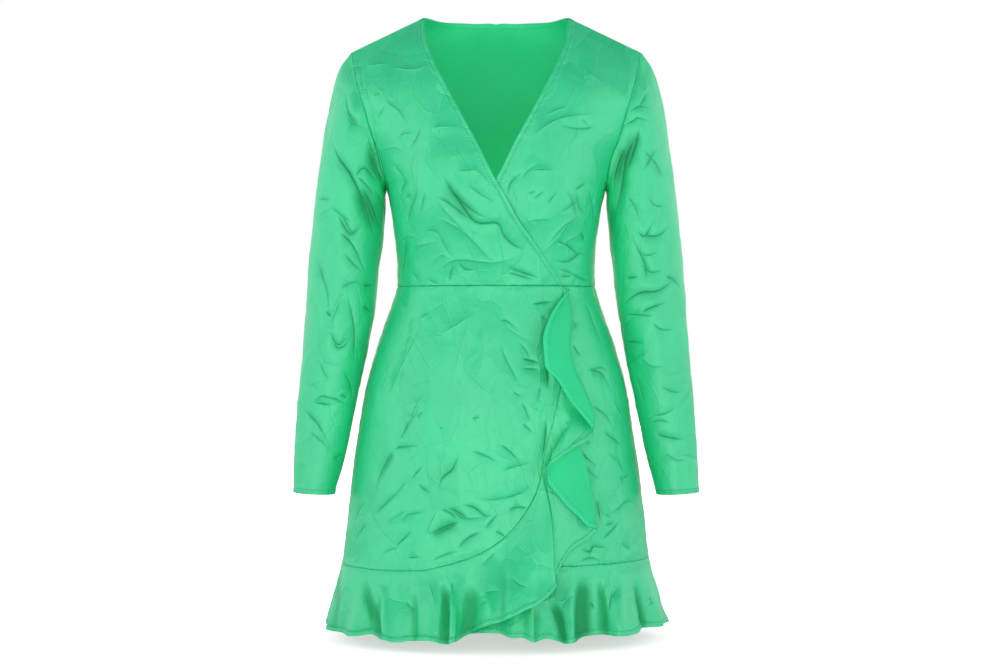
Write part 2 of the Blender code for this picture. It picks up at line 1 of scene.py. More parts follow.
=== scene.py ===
"""A satin wrap dress with its cloth, creases and sewing, laid out as a Blender add-on.

The pieces are drawn from the same named lines as the part's solids, on a finer grid. Each is a thin shell that
carries its creases, its seam puckers and its turned hems, and stands for the solid of the same name. Metres, +Z
up, front to -Y, +X to the wearer's left. See the sidebar panel for the sizes and colours that can be changed.
"""

import bpy
import numpy as np
from bpy.props import FloatProperty, FloatVectorProperty, PointerProperty
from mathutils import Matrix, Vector


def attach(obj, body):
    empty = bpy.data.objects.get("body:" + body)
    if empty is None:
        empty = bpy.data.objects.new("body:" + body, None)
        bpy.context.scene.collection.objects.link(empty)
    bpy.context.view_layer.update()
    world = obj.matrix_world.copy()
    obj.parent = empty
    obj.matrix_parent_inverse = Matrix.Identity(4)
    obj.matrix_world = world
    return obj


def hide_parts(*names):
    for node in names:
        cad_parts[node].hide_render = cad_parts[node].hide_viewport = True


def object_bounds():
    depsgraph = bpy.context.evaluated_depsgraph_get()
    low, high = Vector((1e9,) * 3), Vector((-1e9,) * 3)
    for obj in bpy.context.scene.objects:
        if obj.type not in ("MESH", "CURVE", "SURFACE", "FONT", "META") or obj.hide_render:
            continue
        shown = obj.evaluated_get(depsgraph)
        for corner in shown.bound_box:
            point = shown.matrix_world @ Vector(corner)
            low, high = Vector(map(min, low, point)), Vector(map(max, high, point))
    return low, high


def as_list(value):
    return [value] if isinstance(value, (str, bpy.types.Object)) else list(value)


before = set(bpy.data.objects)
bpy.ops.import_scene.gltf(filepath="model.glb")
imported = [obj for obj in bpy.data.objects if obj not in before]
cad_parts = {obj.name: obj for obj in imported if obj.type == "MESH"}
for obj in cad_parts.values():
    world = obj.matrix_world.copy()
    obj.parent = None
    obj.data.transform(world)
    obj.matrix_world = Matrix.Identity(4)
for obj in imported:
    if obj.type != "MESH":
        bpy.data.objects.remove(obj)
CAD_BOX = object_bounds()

bl_info = {
    "name": "Satin wrap dress",
    "version": (1, 0, 0),
    "blender": (4, 5, 0),
    "location": "3D View > Sidebar > Dress",
    "description": "Cloth, creases, hems and stitching for a satin wrap dress, and a plain studio",
    "category": "Object",
}

PIECES = {
    # node: flat cut (width, length) in metres, its area in square metres, and the pieces it is sewn to
    "bodice_front_right": ((0.300, 0.480), 0.070, ["bodice_back", "skirt_front_right"]),
    "bodice_front_left": ((0.300, 0.480), 0.069, ["bodice_back", "skirt_front_left"]),
    "bodice_back": ((0.480, 0.430), 0.151, ["bodice_front_right", "bodice_front_left"]),
    "sleeve_right": ((0.490, 0.630), 0.159, ["bodice_back", "bodice_front_right"]),
    "sleeve_left": ((0.490, 0.630), 0.159, ["bodice_back", "bodice_front_left"]),
    "skirt_front_right": ((0.410, 0.400), 0.118, ["bodice_front_right", "skirt_back"]),
    "skirt_front_left": ((0.370, 0.390), 0.127, ["bodice_front_left", "skirt_back"]),
    "skirt_back": ((0.580, 0.400), 0.192, ["bodice_back"]),
    "flounce_front_right": ((1.040, 0.160), 0.072, ["skirt_front_right"]),
    "flounce_front_left": ((0.460, 0.110), 0.038, ["skirt_front_left"]),
    "flounce_back": ((0.760, 0.110), 0.063, ["skirt_back"]),
}

WRAP_LAYER = 0.0026  # how far the over front stands off the under one
WRAP_START_X = -0.13
WRAP_START_Z = -0.17
WRAP_RUN = {"x": 0.035, "z": 0.04}  # over which it comes to stand off
WAIST_Z = -0.3746
UNDER_EDGE_X = -0.0908  # hidden edge of the under skirt, at its waist
HEM_Z_RIGHT = -0.757  # the flounce's seam at each side
HEM_Z_LEFT = -0.748
SECTION_FULLNESS = 0.2
SHOULDER_ROUNDING = 0.2
SLEEVE_CAP = 0.32  # share of a sleeve over which its armhole turns into an oval
FLOUNCE_NEAR = {"fall": 0.3, "lift": 0.25}  # how a flounce leaves its seam, as shares of its bend
FLOUNCE_BEND_LIFT = 0.55
HALVINGS = 40
HEM_WIDTH = 0.008
STITCH_INSET = 0.0065  # from a hem's edge to its row of stitches
CUFF_SECOND_INSET = 0.0035
BACK_NECK_HALF = 0.0985  # half the width of the back's neckline
BACK_NECK_END = 0.002  # over which its band gives way to the shoulder seam
SEAM_ALLOWANCE = 0.003  # of each sleeve, inside the bodice
SEAM_ALLOWANCE_DRAWN_IN = 0.05  # of the way to the armhole's middle
UNDER_HIDDEN_SHARE = 0.42  # of the under skirt, from its own edge


def table(columns, rows):
    """A table whose columns are read by name."""
    return dict(zip(columns.split(), np.array(rows, float).T))


SKIRT_FORM = table("z half_width front back", [
    (-0.3746, 0.1370, 0.0880, 0.0820),
    (-0.3860, 0.1400, 0.0895, 0.0850),
    (-0.4066, 0.1470, 0.0940, 0.0920),
    (-0.4483, 0.1620, 0.1020, 0.1070),
    (-0.4900, 0.1745, 0.1080, 0.1180),
    (-0.5317, 0.1840, 0.1120, 0.1250),
    (-0.5730, 0.1900, 0.1150, 0.1290),
    (-0.6151, 0.1967, 0.1180, 0.1330),
    (-0.6570, 0.2020, 0.1210, 0.1360),
    (-0.6985, 0.2064, 0.1235, 0.1380),
    (-0.7400, 0.2110, 0.1260, 0.1400),
    (-0.7610, 0.2148, 0.1280, 0.1420),
    (-0.7820, 0.2210, 0.1330, 0.1470),
    (-0.8030, 0.2266, 0.1390, 0.1520),
    (-0.8450, 0.2377, 0.1500, 0.1630),
    (-0.8700, 0.2440, 0.1560, 0.1690),
])
FRONT_CENTRE = table("rise y z", [
    (0.00, -0.088, -0.3746),
    (0.20, -0.103, -0.3208),
    (0.45, -0.119, -0.2520),
    (0.65, -0.112, -0.1750),
    (0.80, -0.092, -0.0980),
    (0.92, -0.050, -0.0150),
    (1.00, 0.000, 0.0338),
])
FRONT_SIDE = table("rise x y z turn", [
    (0.00, 0.1370, 0.000, -0.3746, 90),
    (0.10, 0.1370, 0.000, -0.3477, 90),
    (0.20, 0.1385, 0.000, -0.3208, 90),
    (0.30, 0.1418, 0.000, -0.2939, 90),
    (0.40, 0.1460, 0.000, -0.2670, 90),
    (0.50, 0.1515, 0.000, -0.2400, 90),
    (0.55, 0.1530, -0.028, -0.2270, 80),
    (0.60, 0.1560, -0.042, -0.2070, 70),
    (0.70, 0.1700, -0.052, -0.1670, 57),
    (0.80, 0.1810, -0.052, -0.1290, 49),
    (0.90, 0.1910, -0.035, -0.0930, 41),
    (1.00, 0.2000, 0.000, -0.0480, 30),
])
BACK_CENTRE = table("rise y z", [
    (0.00, 0.082, -0.3746),
    (0.22, 0.090, -0.3150),
    (0.45, 0.105, -0.2400),
    (0.66, 0.108, -0.1500),
    (0.82, 0.096, -0.0700),
    (0.92, 0.060, -0.0010),
    (0.94, 0.059, 0.0035),
    (0.96, 0.055, 0.0120),
    (0.98, 0.044, 0.0215),
    (1.00, 0.000, 0.0338),
])
BACK_SIDE = table("rise x y z turn", [
    (0.00, 0.1370, 0.000, -0.3746, 90),
    (0.10, 0.1370, 0.000, -0.3477, 90),
    (0.20, 0.1385, 0.000, -0.3208, 90),
    (0.30, 0.1418, 0.000, -0.2939, 90),
    (0.40, 0.1460, 0.000, -0.2670, 90),
    (0.50, 0.1515, 0.000, -0.2400, 90),
    (0.55, 0.1530, 0.030, -0.2290, 80),
    (0.60, 0.1570, 0.045, -0.2110, 70),
    (0.70, 0.1680, 0.058, -0.1780, 57),
    (0.80, 0.1790, 0.061, -0.1450, 49),
    (0.90, 0.1900, 0.046, -0.1000, 41),
    (1.00, 0.2000, 0.000, -0.0480, 30),
])
FRONT = {"centre": FRONT_CENTRE, "side": FRONT_SIDE}
BACK = {"centre": BACK_CENTRE, "side": BACK_SIDE}
BACK_NECK_RISE = 0.92
BACK_NECK_ACROSS = 0.4826
BUST = {"x": 0.078, "z": -0.245, "half_width": 0.07, "half_height": 0.115, "height": 0.009}
NECK_EDGE = table("z x", [
    (0.0000, -0.1000),
    (-0.0295, -0.0969),
    (-0.0770, -0.0802),
    (-0.1160, -0.0606),
    (-0.1500, -0.0430),
    (-0.1820, -0.0257),
    (-0.2307, -0.0017),
    (-0.2567, 0.0138),
    (-0.2883, 0.0312),
    (-0.3127, 0.0486),
    (-0.3385, 0.0662),
    (-0.3746, 0.0908),
])
SKIRT_EDGE = table("turn z", [
    (41.4, -0.3746),
    (33.2, -0.4481),
    (28.7, -0.5139),
    (25.2, -0.5455),
    (22.8, -0.5686),
    (20.9, -0.5860),
    (19.4, -0.6030),
    (18.2, -0.6218),
    (17.3, -0.6345),
    (15.5, -0.6524),
    (11.8, -0.6748),
    (6.0, -0.7013),
    (1.6, -0.7158),
    (-3.3, -0.7278),
    (-13.7, -0.7438),
    (-20.2, -0.7500),
    (-27.0, -0.7555),
    (-42.0, -0.7575),
    (-59.0, -0.7570),
    (-90.0, -0.7570),
])
CORNER_TURN = 18.2
CASCADE = table("along near_turn bend_turn bend_z bend_lift edge_turn edge_z edge_lift", [
    (0.000, 43.9, 43.9, -0.380, 0.003, 44.5, -0.379, 0.004),
    (0.018, 44.0, 44.0, -0.396, 0.008, 34.5, -0.396, 0.010),
    (0.040, 42.5, 42.5, -0.420, 0.014, 26.5, -0.419, 0.014),
    (0.066, 38.0, 38.0, -0.449, 0.018, 21.7, -0.450, 0.016),
    (0.090, 37.5, 37.5, -0.478, 0.020, 21.3, -0.481, 0.016),
    (0.109, 40.0, 40.0, -0.506, 0.022, 26.4, -0.503, 0.018),
    (0.124, 43.0, 43.0, -0.528, 0.024, 30.3, -0.529, 0.021),
    (0.135, 44.5, 44.5, -0.548, 0.024, 35.4, -0.550, 0.022),
    (0.144, 43.0, 43.0, -0.560, 0.018, 39.8, -0.570, 0.018),
    (0.152, 41.0, 39.0, -0.558, 0.013, 37.5, -0.581, 0.018),
    (0.158, 38.0, 32.5, -0.556, 0.015, 30.0, -0.592, 0.024),
    (0.165, 36.5, 26.5, -0.560, 0.022, 23.2, -0.606, 0.028),
    (0.170, 36.0, 24.6, -0.568, 0.019, 19.4, -0.617, 0.024),
    (0.176, 37.0, 27.5, -0.583, 0.014, 19.5, -0.636, 0.015),
    (0.183, 38.0, 33.0, -0.592, 0.014, 22.8, -0.652, 0.014),
    (0.191, 39.5, 37.5, -0.597, 0.015, 26.3, -0.668, 0.014),
    (0.199, 40.5, 38.5, -0.613, 0.016, 30.9, -0.683, 0.014),
    (0.209, 41.5, 40.0, -0.640, 0.014, 35.0, -0.697, 0.016),
    (0.219, 40.0, 39.0, -0.650, 0.008, 39.4, -0.701, 0.010),
    (0.228, 33.8, 33.8, -0.650, 0.004, 36.5, -0.713, 0.004),
    (0.237, 27.4, 27.2, -0.670, 0.004, 28.6, -0.728, 0.005),
    (0.245, 23.8, 23.4, -0.680, 0.004, 24.6, -0.745, 0.006),
    (0.253, 22.4, 21.8, -0.690, 0.005, 21.4, -0.762, 0.009),
    (0.260, 21.2, 20.6, -0.690, 0.020, 20.0, -0.774, 0.028),
    (0.271, 18.0, 17.8, -0.700, 0.024, 17.0, -0.785, 0.033),
    (0.284, 14.4, 14.4, -0.720, 0.025, 13.0, -0.796, 0.034),
    (0.309, 10.7, 10.7, -0.735, 0.026, 9.4, -0.802, 0.034),
    (0.342, 5.9, 5.9, -0.752, 0.026, 5.8, -0.809, 0.034),
    (0.363, 0.8, 0.8, -0.764, 0.024, 0.5, -0.818, 0.034),
    (0.385, -3.2, -3.2, -0.772, 0.020, -3.2, -0.823, 0.030),
])
OVER_WAVES = table("turn z lift", [
    (-8.8, -0.836, 0.003),
    (-12.0, -0.844, 0.010),
    (-14.6, -0.847, 0.016),
    (-17.0, -0.848, 0.008),
    (-21.4, -0.844, 0.014),
    (-27.3, -0.846, 0.004),
    (-33.0, -0.848, 0.013),
    (-39.4, -0.845, 0.009),
    (-45.6, -0.842, -0.005),
    (-53.0, -0.845, 0.009),
    (-62.0, -0.844, -0.002),
    (-72.0, -0.843, 0.006),
    (-81.0, -0.842, -0.003),
    (-90.0, -0.841, 0.000),
])
UNDER_WAVES = table("turn z lift", [
    (-20.0, -0.838, -0.006),
    (-12.0, -0.838, -0.008),
    (-4.0, -0.836, -0.003),
    (1.0, -0.836, 0.000),
    (5.2, -0.841, 0.009),
    (8.5, -0.841, 0.003),
    (12.0, -0.846, 0.011),
    (16.5, -0.843, 0.002),
    (23.5, -0.848, 0.014),
    (32.0, -0.842, -0.008),
    (37.0, -0.841, -0.008),
    (44.0, -0.843, 0.009),
    (51.0, -0.841, 0.008),
    (59.6, -0.837, -0.005),
    (69.0, -0.838, 0.005),
    (79.0, -0.839, -0.004),
    (90.0, -0.841, 0.000),
])
BACK_WAVES = table("turn z lift", [
    (90.0, -0.841, 0.000),
    (99.0, -0.843, 0.008),
    (107.0, -0.841, -0.006),
    (117.0, -0.846, 0.011),
    (127.0, -0.842, -0.004),
    (136.0, -0.845, 0.010),
    (145.0, -0.841, -0.008),
    (156.0, -0.847, 0.013),
    (167.0, -0.843, -0.003),
    (175.0, -0.845, 0.009),
    (184.0, -0.842, -0.007),
    (194.0, -0.847, 0.012),
    (203.0, -0.843, -0.002),
    (212.0, -0.845, 0.009),
    (222.0, -0.841, -0.008),
    (233.0, -0.847, 0.012),
    (243.0, -0.842, -0.005),
    (252.0, -0.844, 0.009),
    (261.0, -0.842, -0.005),
    (270.0, -0.841, 0.000),
])
SLEEVE = table("ring outer_x outer_z inner_x inner_z middle_y half_depth", [
    (0.00, 0.2000, -0.0480, 0.1515, -0.2400, 0.005, 0.0570),
    (0.05, 0.2182, -0.0730, 0.1540, -0.2505, 0.004, 0.0585),
    (0.10, 0.2307, -0.1150, 0.1538, -0.2620, 0.004, 0.0590),
    (0.20, 0.2415, -0.1750, 0.1550, -0.2850, 0.003, 0.0600),
    (0.30, 0.2497, -0.2350, 0.1577, -0.3150, 0.002, 0.0590),
    (0.40, 0.2554, -0.2930, 0.1630, -0.3520, 0.000, 0.0560),
    (0.50, 0.2603, -0.3520, 0.1673, -0.3980, -0.003, 0.0530),
    (0.60, 0.2643, -0.4100, 0.1747, -0.4450, -0.006, 0.0500),
    (0.70, 0.2690, -0.4700, 0.1845, -0.4950, -0.010, 0.0470),
    (0.80, 0.2739, -0.5350, 0.1966, -0.5520, -0.013, 0.0430),
    (0.90, 0.2777, -0.5980, 0.2083, -0.6080, -0.017, 0.0400),
    (1.00, 0.2797, -0.6575, 0.2216, -0.6608, -0.020, 0.0370),
])

# Main creases, in millimetres: depth (a ridge is positive), width, then x, z pairs as seen from the front.
CREASES = {
    "bodice_front_right": [
        (2.2, 7, -178, -71, -146, -69),
        (2.2, 7, -149, -75, -108, -80, -88, -68),
        (1.8, 6, -169, -115, -157, -115),
        (-2.2, 7, -161, -147, -149, -127),
        (2.2, 7, -133, -173, -121, -169, -108, -170),
        (2.2, 7, -86, -167, -76, -162, -44, -163),
        (-2.6, 6, -99, -158, -107, -177, -117, -193),
        (-4.2, 7, -74, -226, -64, -241, -49, -261, -27, -290, 2, -292, 11, -308, 26, -323, 41, -328),
        (-3, 6, -82, -255, -64, -264, -44, -279, -24, -291),
        (2.4, 7, -39, -241, -17, -256, 8, -269),
        (2.2, 9, -51, -224, -18, -220),
        (3.2, 7, -86, -281, -64, -291, -41, -306, -24, -323, -6, -341, 3, -345),
        (-2.4, 6, -76, -306, -68, -323, -56, -341),
        (2.4, 7, -111, -323, -94, -319, -74, -314),
        (-2.2, 6, -96, -302, -82, -302, -74, -311),
        (3.2, 7, -86, -358, -53, -341, -1, -345, 38, -331),
        (-3.2, 6, -51, -343, -41, -353, -21, -353),
        (-2.4, 5, -64, -371, -56, -349),
        (-2.4, 6, -114, -355, -103, -371),
        (-2.2, 6, -94, -366, -74, -373),
        (-3.2, 6, 11, -349, 38, -358, 64, -366),
        (-3, 7, -121, -229, -131, -255),
        (-2.4, 6, -123, -256, -114, -252),
        (-2.6, 7, -103, -241, -114, -269, -123, -299),
        (-2.8, 6, -94, -249, -103, -287),
        (-2.8, 7, -121, -291, -126, -341, -131, -366),
        (2.4, 6, -83, -256, -72, -271, -55, -290, -35, -311, -4, -345),
        (-3.6, 9, -71, -228, -55, -253, -28, -277, -4, -288),
        (-3.2, 8, 4, -303, 22, -319, 38, -328),
        (2.2, 6, -88, -349, -74, -334, -55, -343),
        (-2.4, 6, -65, -370, -55, -343),
        (2, 6, -161, -193, -139, -187, -123, -193),
        (2, 6, -156, -120, -131, -139, -117, -163),
        (-2.2, 6, -142, -206, -129, -222, -118, -247),
        (2, 6, -35, -217, -18, -228, -2, -249),
        (-2.4, 7, 12, -357, 35, -362, 57, -369),
        (2, 5, -135, -314, -115, -308, -96, -314),
    ],
    "bodice_front_left": [
        (2.6, 8, 113, -73, 145, -100, 152, -118),
        (2.6, 8, 41, -182, 76, -155, 105, -146, 145, -142),
        (-2.6, 7, 81, -158, 105, -163, 125, -162, 137, -155),
        (-2.2, 6, 117, -150, 125, -159),
        (-3, 7, 15, -255, 21, -237, 38, -222),
        (2.4, 8, 46, -222, 85, -220),
        (-2, 6, 43, -252, 55, -249),
        (-2.2, 6, 50, -259, 68, -248),
        (-2.2, 7, 68, -267, 85, -247),
        (2.4, 9, 38, -290, 82, -285),
        (3.2, 7, 70, -319, 88, -299, 117, -276),
        (-3.4, 7, 78, -316, 96, -320, 125, -343),
        (-3, 6, 73, -342, 98, -342, 115, -331, 128, -339),
        (-2.8, 6, 105, -361, 131, -369),
        (-2.4, 5, 85, -363, 108, -361),
        (-2.8, 6, 105, -247, 115, -241, 125, -234),
        (-2.8, 6, 108, -249, 113, -269, 123, -281),
        (-3, 6, 125, -241, 132, -267, 135, -291),
        (-3.6, 6, 115, -302, 123, -316),
        (2.2, 6, 61, -331, 81, -314, 100, -290, 113, -276),
        (-2.4, 6, 33, -233, 46, -220, 59, -212),
        (2.2, 5, 66, -148, 81, -139, 100, -134),
        (-2.4, 7, 94, -247, 104, -263, 111, -287),
        (2.2, 6, 81, -327, 97, -314, 119, -303),
        (-2.2, 5, 86, -280, 102, -267, 117, -260),
        (-2.4, 5, 81, -351, 100, -357, 124, -369),
    ],
    "skirt_front_right": [
        (-3.8, 6, 47, -400, 81, -396),
        (-2.2, 5, 62, -416, 70, -420),
        (-2.6, 6, 4, -421, 16, -423, 33, -437),
        (-3.8, 6, 33, -472, 61, -479),
        (-3, 6, 34, -486, 61, -487),
        (-2.6, 7, 4, -447, 12, -471, 25, -496, 31, -503),
        (-2.4, 5, 23, -518, 34, -523),
        (-2.6, 7, 35, -531, 47, -558),
        (-2.6, 6, 35, -560, 50, -572),
        (-2.4, 6, 61, -506, 55, -531),
        (-3, 7, 4, -586, 19, -597, 33, -611),
        (-2.2, 5, -32, -554, -20, -550),
        (-2, 5, -76, -566, -70, -566),
        (3, 7, -100, -522, -111, -545, -115, -553),
        (-2.6, 6, -107, -550, -96, -545),
        (-3.2, 7, -115, -556, -130, -584),
        (-3.2, 6, -137, -595, -125, -592, -99, -591),
        (-3.2, 7, -137, -595, -147, -612, -158, -635, -166, -658),
        (-2.8, 6, -106, -640, -86, -654),
        (-3.8, 7, -45, -593, -57, -620, -65, -627, -74, -638, -76, -663),
        (-3, 6, -114, -635, -96, -615),
        (-3.2, 7, -166, -687, -145, -666, -123, -647),
        (-2.4, 6, -194, -702, -186, -679, -176, -668),
        (3, 7, -127, -691, -114, -681, -86, -679),
        (-3.8, 6, -64, -672, -49, -679, -35, -686),
        (-3.4, 6, -48, -668, -29, -671, -14, -682, -1, -681),
        (-3, 6, 16, -675, 30, -671, 47, -672),
        (-3.8, 7, -94, -710, -65, -697, -45, -689),
        (2.8, 7, -94, -710, -86, -690, -76, -676),
        (-3.2, 7, -137, -729, -122, -714, -111, -703),
        (-3, 6, -52, -726, -35, -711, -14, -702),
        (-3, 6, -14, -699, 4, -679),
        (-2.6, 6, -1, -703, 14, -709),
        (2.4, 8, -29, -662, 4, -660, 35, -652, 47, -643),
        (-2.4, 6, -119, -740, -99, -738),
        (2.4, 9, -147, -522, -137, -506, -130, -488),
        (2, 6, -102, -419, -91, -413),
        (2.6, 10, -76, -441, -29, -413),
        (2, 6, -99, -429, -123, -475, -147, -523),
        (2, 7, -36, -423, -49, -462, -61, -523),
        (-2.4, 6, -102, -523, -107, -545, -117, -561, -130, -585),
        (-2.6, 7, -134, -595, -149, -617, -162, -639),
        (-2.6, 6, -76, -674, -61, -679, -47, -691),
        (-3, 9, -47, -691, -70, -702, -92, -711),
        (-2.4, 6, -64, -672, -40, -686, -8, -683),
        (2.4, 7, -141, -659, -126, -646, -113, -636),
        (-2.4, 6, -193, -724, -182, -707, -172, -695),
        (2, 7, -150, -695, -131, -683, -113, -676),
        (-2.4, 6, -35, -595, -13, -603, 6, -612),
        (-2.2, 6, -88, -744, -67, -734, -48, -729),
        (-2, 5, -156, -738, -139, -729, -126, -726),
        (2.2, 6, 6, -624, 26, -617, 50, -612),
        (-2.2, 5, 29, -448, 42, -464, 47, -483),
        (-5, 8.5, 68, -480, 70, -496, 70, -515),
        (-4, 7, 68, -550, 66, -582, 61, -615),
    ],
    "skirt_front_left": [
        (-3.2, 7, 121, -487, 133, -489, 144, -494, 152, -506, 164, -523),
        (-2.8, 7, 141, -569, 155, -579, 164, -585, 182, -601),
        (-2.2, 6, 103, -418, 109, -432),
        (-2.8, 7, 103, -454, 115, -471),
        (-2.8, 7, 114, -577, 129, -589),
        (-3, 7, 110, -594, 123, -608, 141, -621),
        (2.6, 7, 121, -620, 138, -635),
        (-3, 7, 136, -662, 141, -696),
        (-2.2, 5, 149, -682, 155, -690),
        (2.8, 7, 152, -682, 167, -675, 180, -667, 199, -679),
        (-2.4, 6, 146, -698, 161, -696),
        (-2.4, 6, 167, -638, 187, -631),
        (-3.8, 6, 110, -728, 126, -732, 133, -725, 160, -732),
        (-2.6, 6, 169, -723, 186, -735),
        (-2.4, 6, 122, -394, 133, -424, 145, -455),
        (-2.4, 6, 127, -491, 141, -486, 157, -491),
        (-2.8, 7, 127, -536, 146, -548, 163, -570),
        (2.4, 7, 146, -597, 164, -613, 179, -638),
        (-2.6, 6, 87, -705, 103, -697, 119, -681),
        (-2.6, 6, 141, -719, 157, -705, 171, -692),
        (-2.4, 6, 110, -746, 127, -740, 145, -746),
        (2.2, 7, 157, -529, 171, -551, 182, -578),
    ],
    "sleeve_right": [
        (-3, 7, -208, -106, -199, -143, -179, -160),
        (-2.4, 7, -208, -131, -183, -156),
        (-4.4, 8, -175, -184, -162, -217, -150, -238),
        (-4.6, 9, -228, -164, -216, -197, -199, -221, -183, -254, -171, -291, -158, -332),
        (-3, 7, -194, -229, -179, -213, -158, -238),
        (-2.4, 6, -244, -254, -224, -257),
        (-3.4, 8, -220, -270, -199, -303, -179, -287),
        (-3.4, 8, -216, -299, -195, -320, -171, -373),
        (3.2, 7, -212, -377, -203, -373, -183, -365),
        (-3.6, 7, -182, -373, -167, -373),
        (-2.6, 8, -249, -332, -232, -377, -227, -414),
        (-4, 6, -232, -409, -224, -417),
        (3.2, 8, -227, -430, -208, -385),
        (-3.2, 8, -203, -385, -194, -434, -194, -488),
        (-4, 7, -182, -399, -169, -414),
        (-3.2, 7, -228, -434, -216, -455, -199, -443),
        (3, 7, -253, -533, -236, -525, -212, -533, -195, -545),
        (-3, 6, -251, -533, -220, -538),
        (-3.6, 5, -212, -522, -203, -529),
        (-2.8, 8, -265, -541, -244, -562, -224, -594),
        (-3.4, 7, -224, -611, -206, -603),
        (-2.6, 6, -220, -640, -208, -635),
        (-2.4, 6, -203, -142, -197, -150, -186, -156),
        (-3, 6, -191, -224, -178, -235, -161, -257),
        (-2.6, 6, -213, -276, -205, -287, -197, -301, -188, -292),
        (-2.4, 6, -227, -265, -210, -279, -194, -290),
        (-2.8, 6, -208, -328, -197, -342, -178, -358),
        (2.4, 6, -227, -418, -216, -396, -205, -380),
        (-2.6, 6, -225, -441, -217, -458, -205, -455, -199, -443),
        (-2.4, 6, -238, -530, -221, -527, -205, -536),
        (-2.6, 6, -208, -489, -199, -511, -197, -533),
        (2.2, 6, -257, -571, -240, -585, -224, -601),
        (-2.2, 6, -243, -476, -235, -492, -227, -508),
        (-3.2, 8, -167, -238, -156, -262, -150, -290),
        (-6, 10, -169, -164, -161, -199, -152, -238),
        (-5, 12, -183, -238, -169, -268, -154, -311),
        (-4, 10, -153, -251, -150, -276, -149, -306),
    ],
    "sleeve_left": [
        (-3, 7, 171, -156, 187, -149, 196, -145, 220, -152),
        (-4.6, 10, 196, -164, 179, -197, 171, -245, 159, -286),
        (-2.6, 7, 209, -106, 192, -135),
        (-3, 8, 196, -184, 220, -209, 228, -229),
        (-2.6, 7, 220, -188, 200, -217),
        (-3.2, 7, 192, -298, 204, -306, 220, -277),
        (-3.2, 7, 196, -302, 220, -306, 241, -290),
        (-3, 8, 183, -302, 204, -347, 204, -372),
        (-2.8, 7, 176, -363, 196, -362),
        (-3.8, 7, 167, -404, 196, -384, 224, -380, 253, -359),
        (-3.6, 7, 197, -413, 212, -404, 238, -395),
        (-2.8, 6, 171, -413, 220, -415),
        (-3.6, 7, 176, -450, 204, -452),
        (2.6, 7, 187, -478, 212, -462),
        (-2.4, 6, 212, -552, 230, -549, 253, -536),
        (-3.4, 7, 216, -577, 261, -586),
        (-2.4, 8, 192, -495, 204, -536),
        (-2.4, 6, 181, -137, 197, -128, 216, -131),
        (-2.6, 6, 205, -251, 219, -265, 235, -262),
        (2.4, 6, 189, -325, 208, -333, 227, -325),
        (-2.6, 6, 197, -342, 211, -355, 230, -352),
        (-3, 6, 230, -361, 243, -366, 254, -380),
        (-2.6, 6, 211, -424, 227, -434, 246, -434),
        (2.2, 6, 197, -470, 213, -484, 235, -484),
        (-2.4, 6, 224, -511, 241, -519, 260, -519),
        (-2.4, 6, 208, -563, 224, -558, 241, -563),
        (2.2, 6, 230, -601, 246, -612, 265, -612),
        (-2.2, 6, 178, -251, 189, -265, 197, -287),
        (-6, 10, 178, -183, 167, -210, 159, -243),
        (-4.5, 12, 197, -156, 189, -188, 175, -224),
        (-4, 10, 159, -251, 159, -292, 161, -325),
    ],
    "flounce_front_right": [
        (-2.6, 7, -14, -782, -5, -779, 10, -779),
        (-2.4, 6, -25, -800, -17, -795, -10, -790),
        (-3, 6, -58, -766, -56, -787),
        (-2.6, 6, -121, -793, -113, -804, -107, -807),
        (-2.4, 6, -18, -747, -7, -737, 2, -729),
        (2, 7, -91, -769, -82, -793, -79, -816),
        (-2.2, 6, 19, -759, 32, -770, 50, -774),
    ],
    "flounce_front_left": [
        (-2.8, 6, 157, -779, 153, -797, 150, -814),
        (-2.6, 6, 154, -793, 162, -782),
        (-2.4, 6, 125, -798, 133, -808),
        (-2.4, 6, 209, -798, 214, -808),
        (-2.2, 6, 76, -816, 83, -822),
    ],
}

# Folds of the flounces, in the same terms. Each runs on past the hem.
FOLDS = {
    "flounce_front_right": [
        (-6, 6, -178, -755, -174, -789, -164, -814, -152, -859),
        (3.5, 6, -157, -769, -149, -798, -147, -859),
        (-4, 3.5, -109, -771, -108, -806, -109, -859),
        (-7, 5, -74, -766, -66, -795, -67, -859),
        (6, 5, -58, -777, -56, -810, -58, -865),
        (-5.4, 9, -38, -763, -33, -800, -42, -859),
        (5, 9, -15, -782, -5, -806, -5, -859),
        (-3, 5, 14, -740, 11, -782, 4, -846),
        (-4, 8, -214, -759, -219, -806, -223, -859),
    ],
    "flounce_front_left": [
        (-5, 4, 52, -795, 55, -819, 54, -859),
        (-9, 6, 68, -793, 83, -814, 92, -859),
        (4, 7, 96, -779, 99, -808, 99, -859),
        (-9, 10, 120, -758, 117, -795, 117, -859),
        (-6, 5, 140, -766, 142, -795, 146, -859),
        (5, 8, 161, -777, 165, -803, 167, -859),
        (-7, 4, 187, -771, 197, -808, 205, -859),
        (3, 6, 218, -779, 223, -808, 228, -859),
    ],
}


BACK_CREASE = {"depth": 0.9, "width": 1.1}  # as shares of the front's


def turned_round(rows, shift_x, shift_z, stretch):
    """Creases like the given ones for the other side of the body: mirrored, moved, softer and a little longer."""
    turned = []
    for depth, width, *places in rows:
        pairs = [(-x * stretch + shift_x, z + shift_z) for x, z in zip(places[::2], places[1::2])]
        turned.append((depth * BACK_CREASE["depth"], width * BACK_CREASE["width"], *sum(pairs, ())))
    return turned


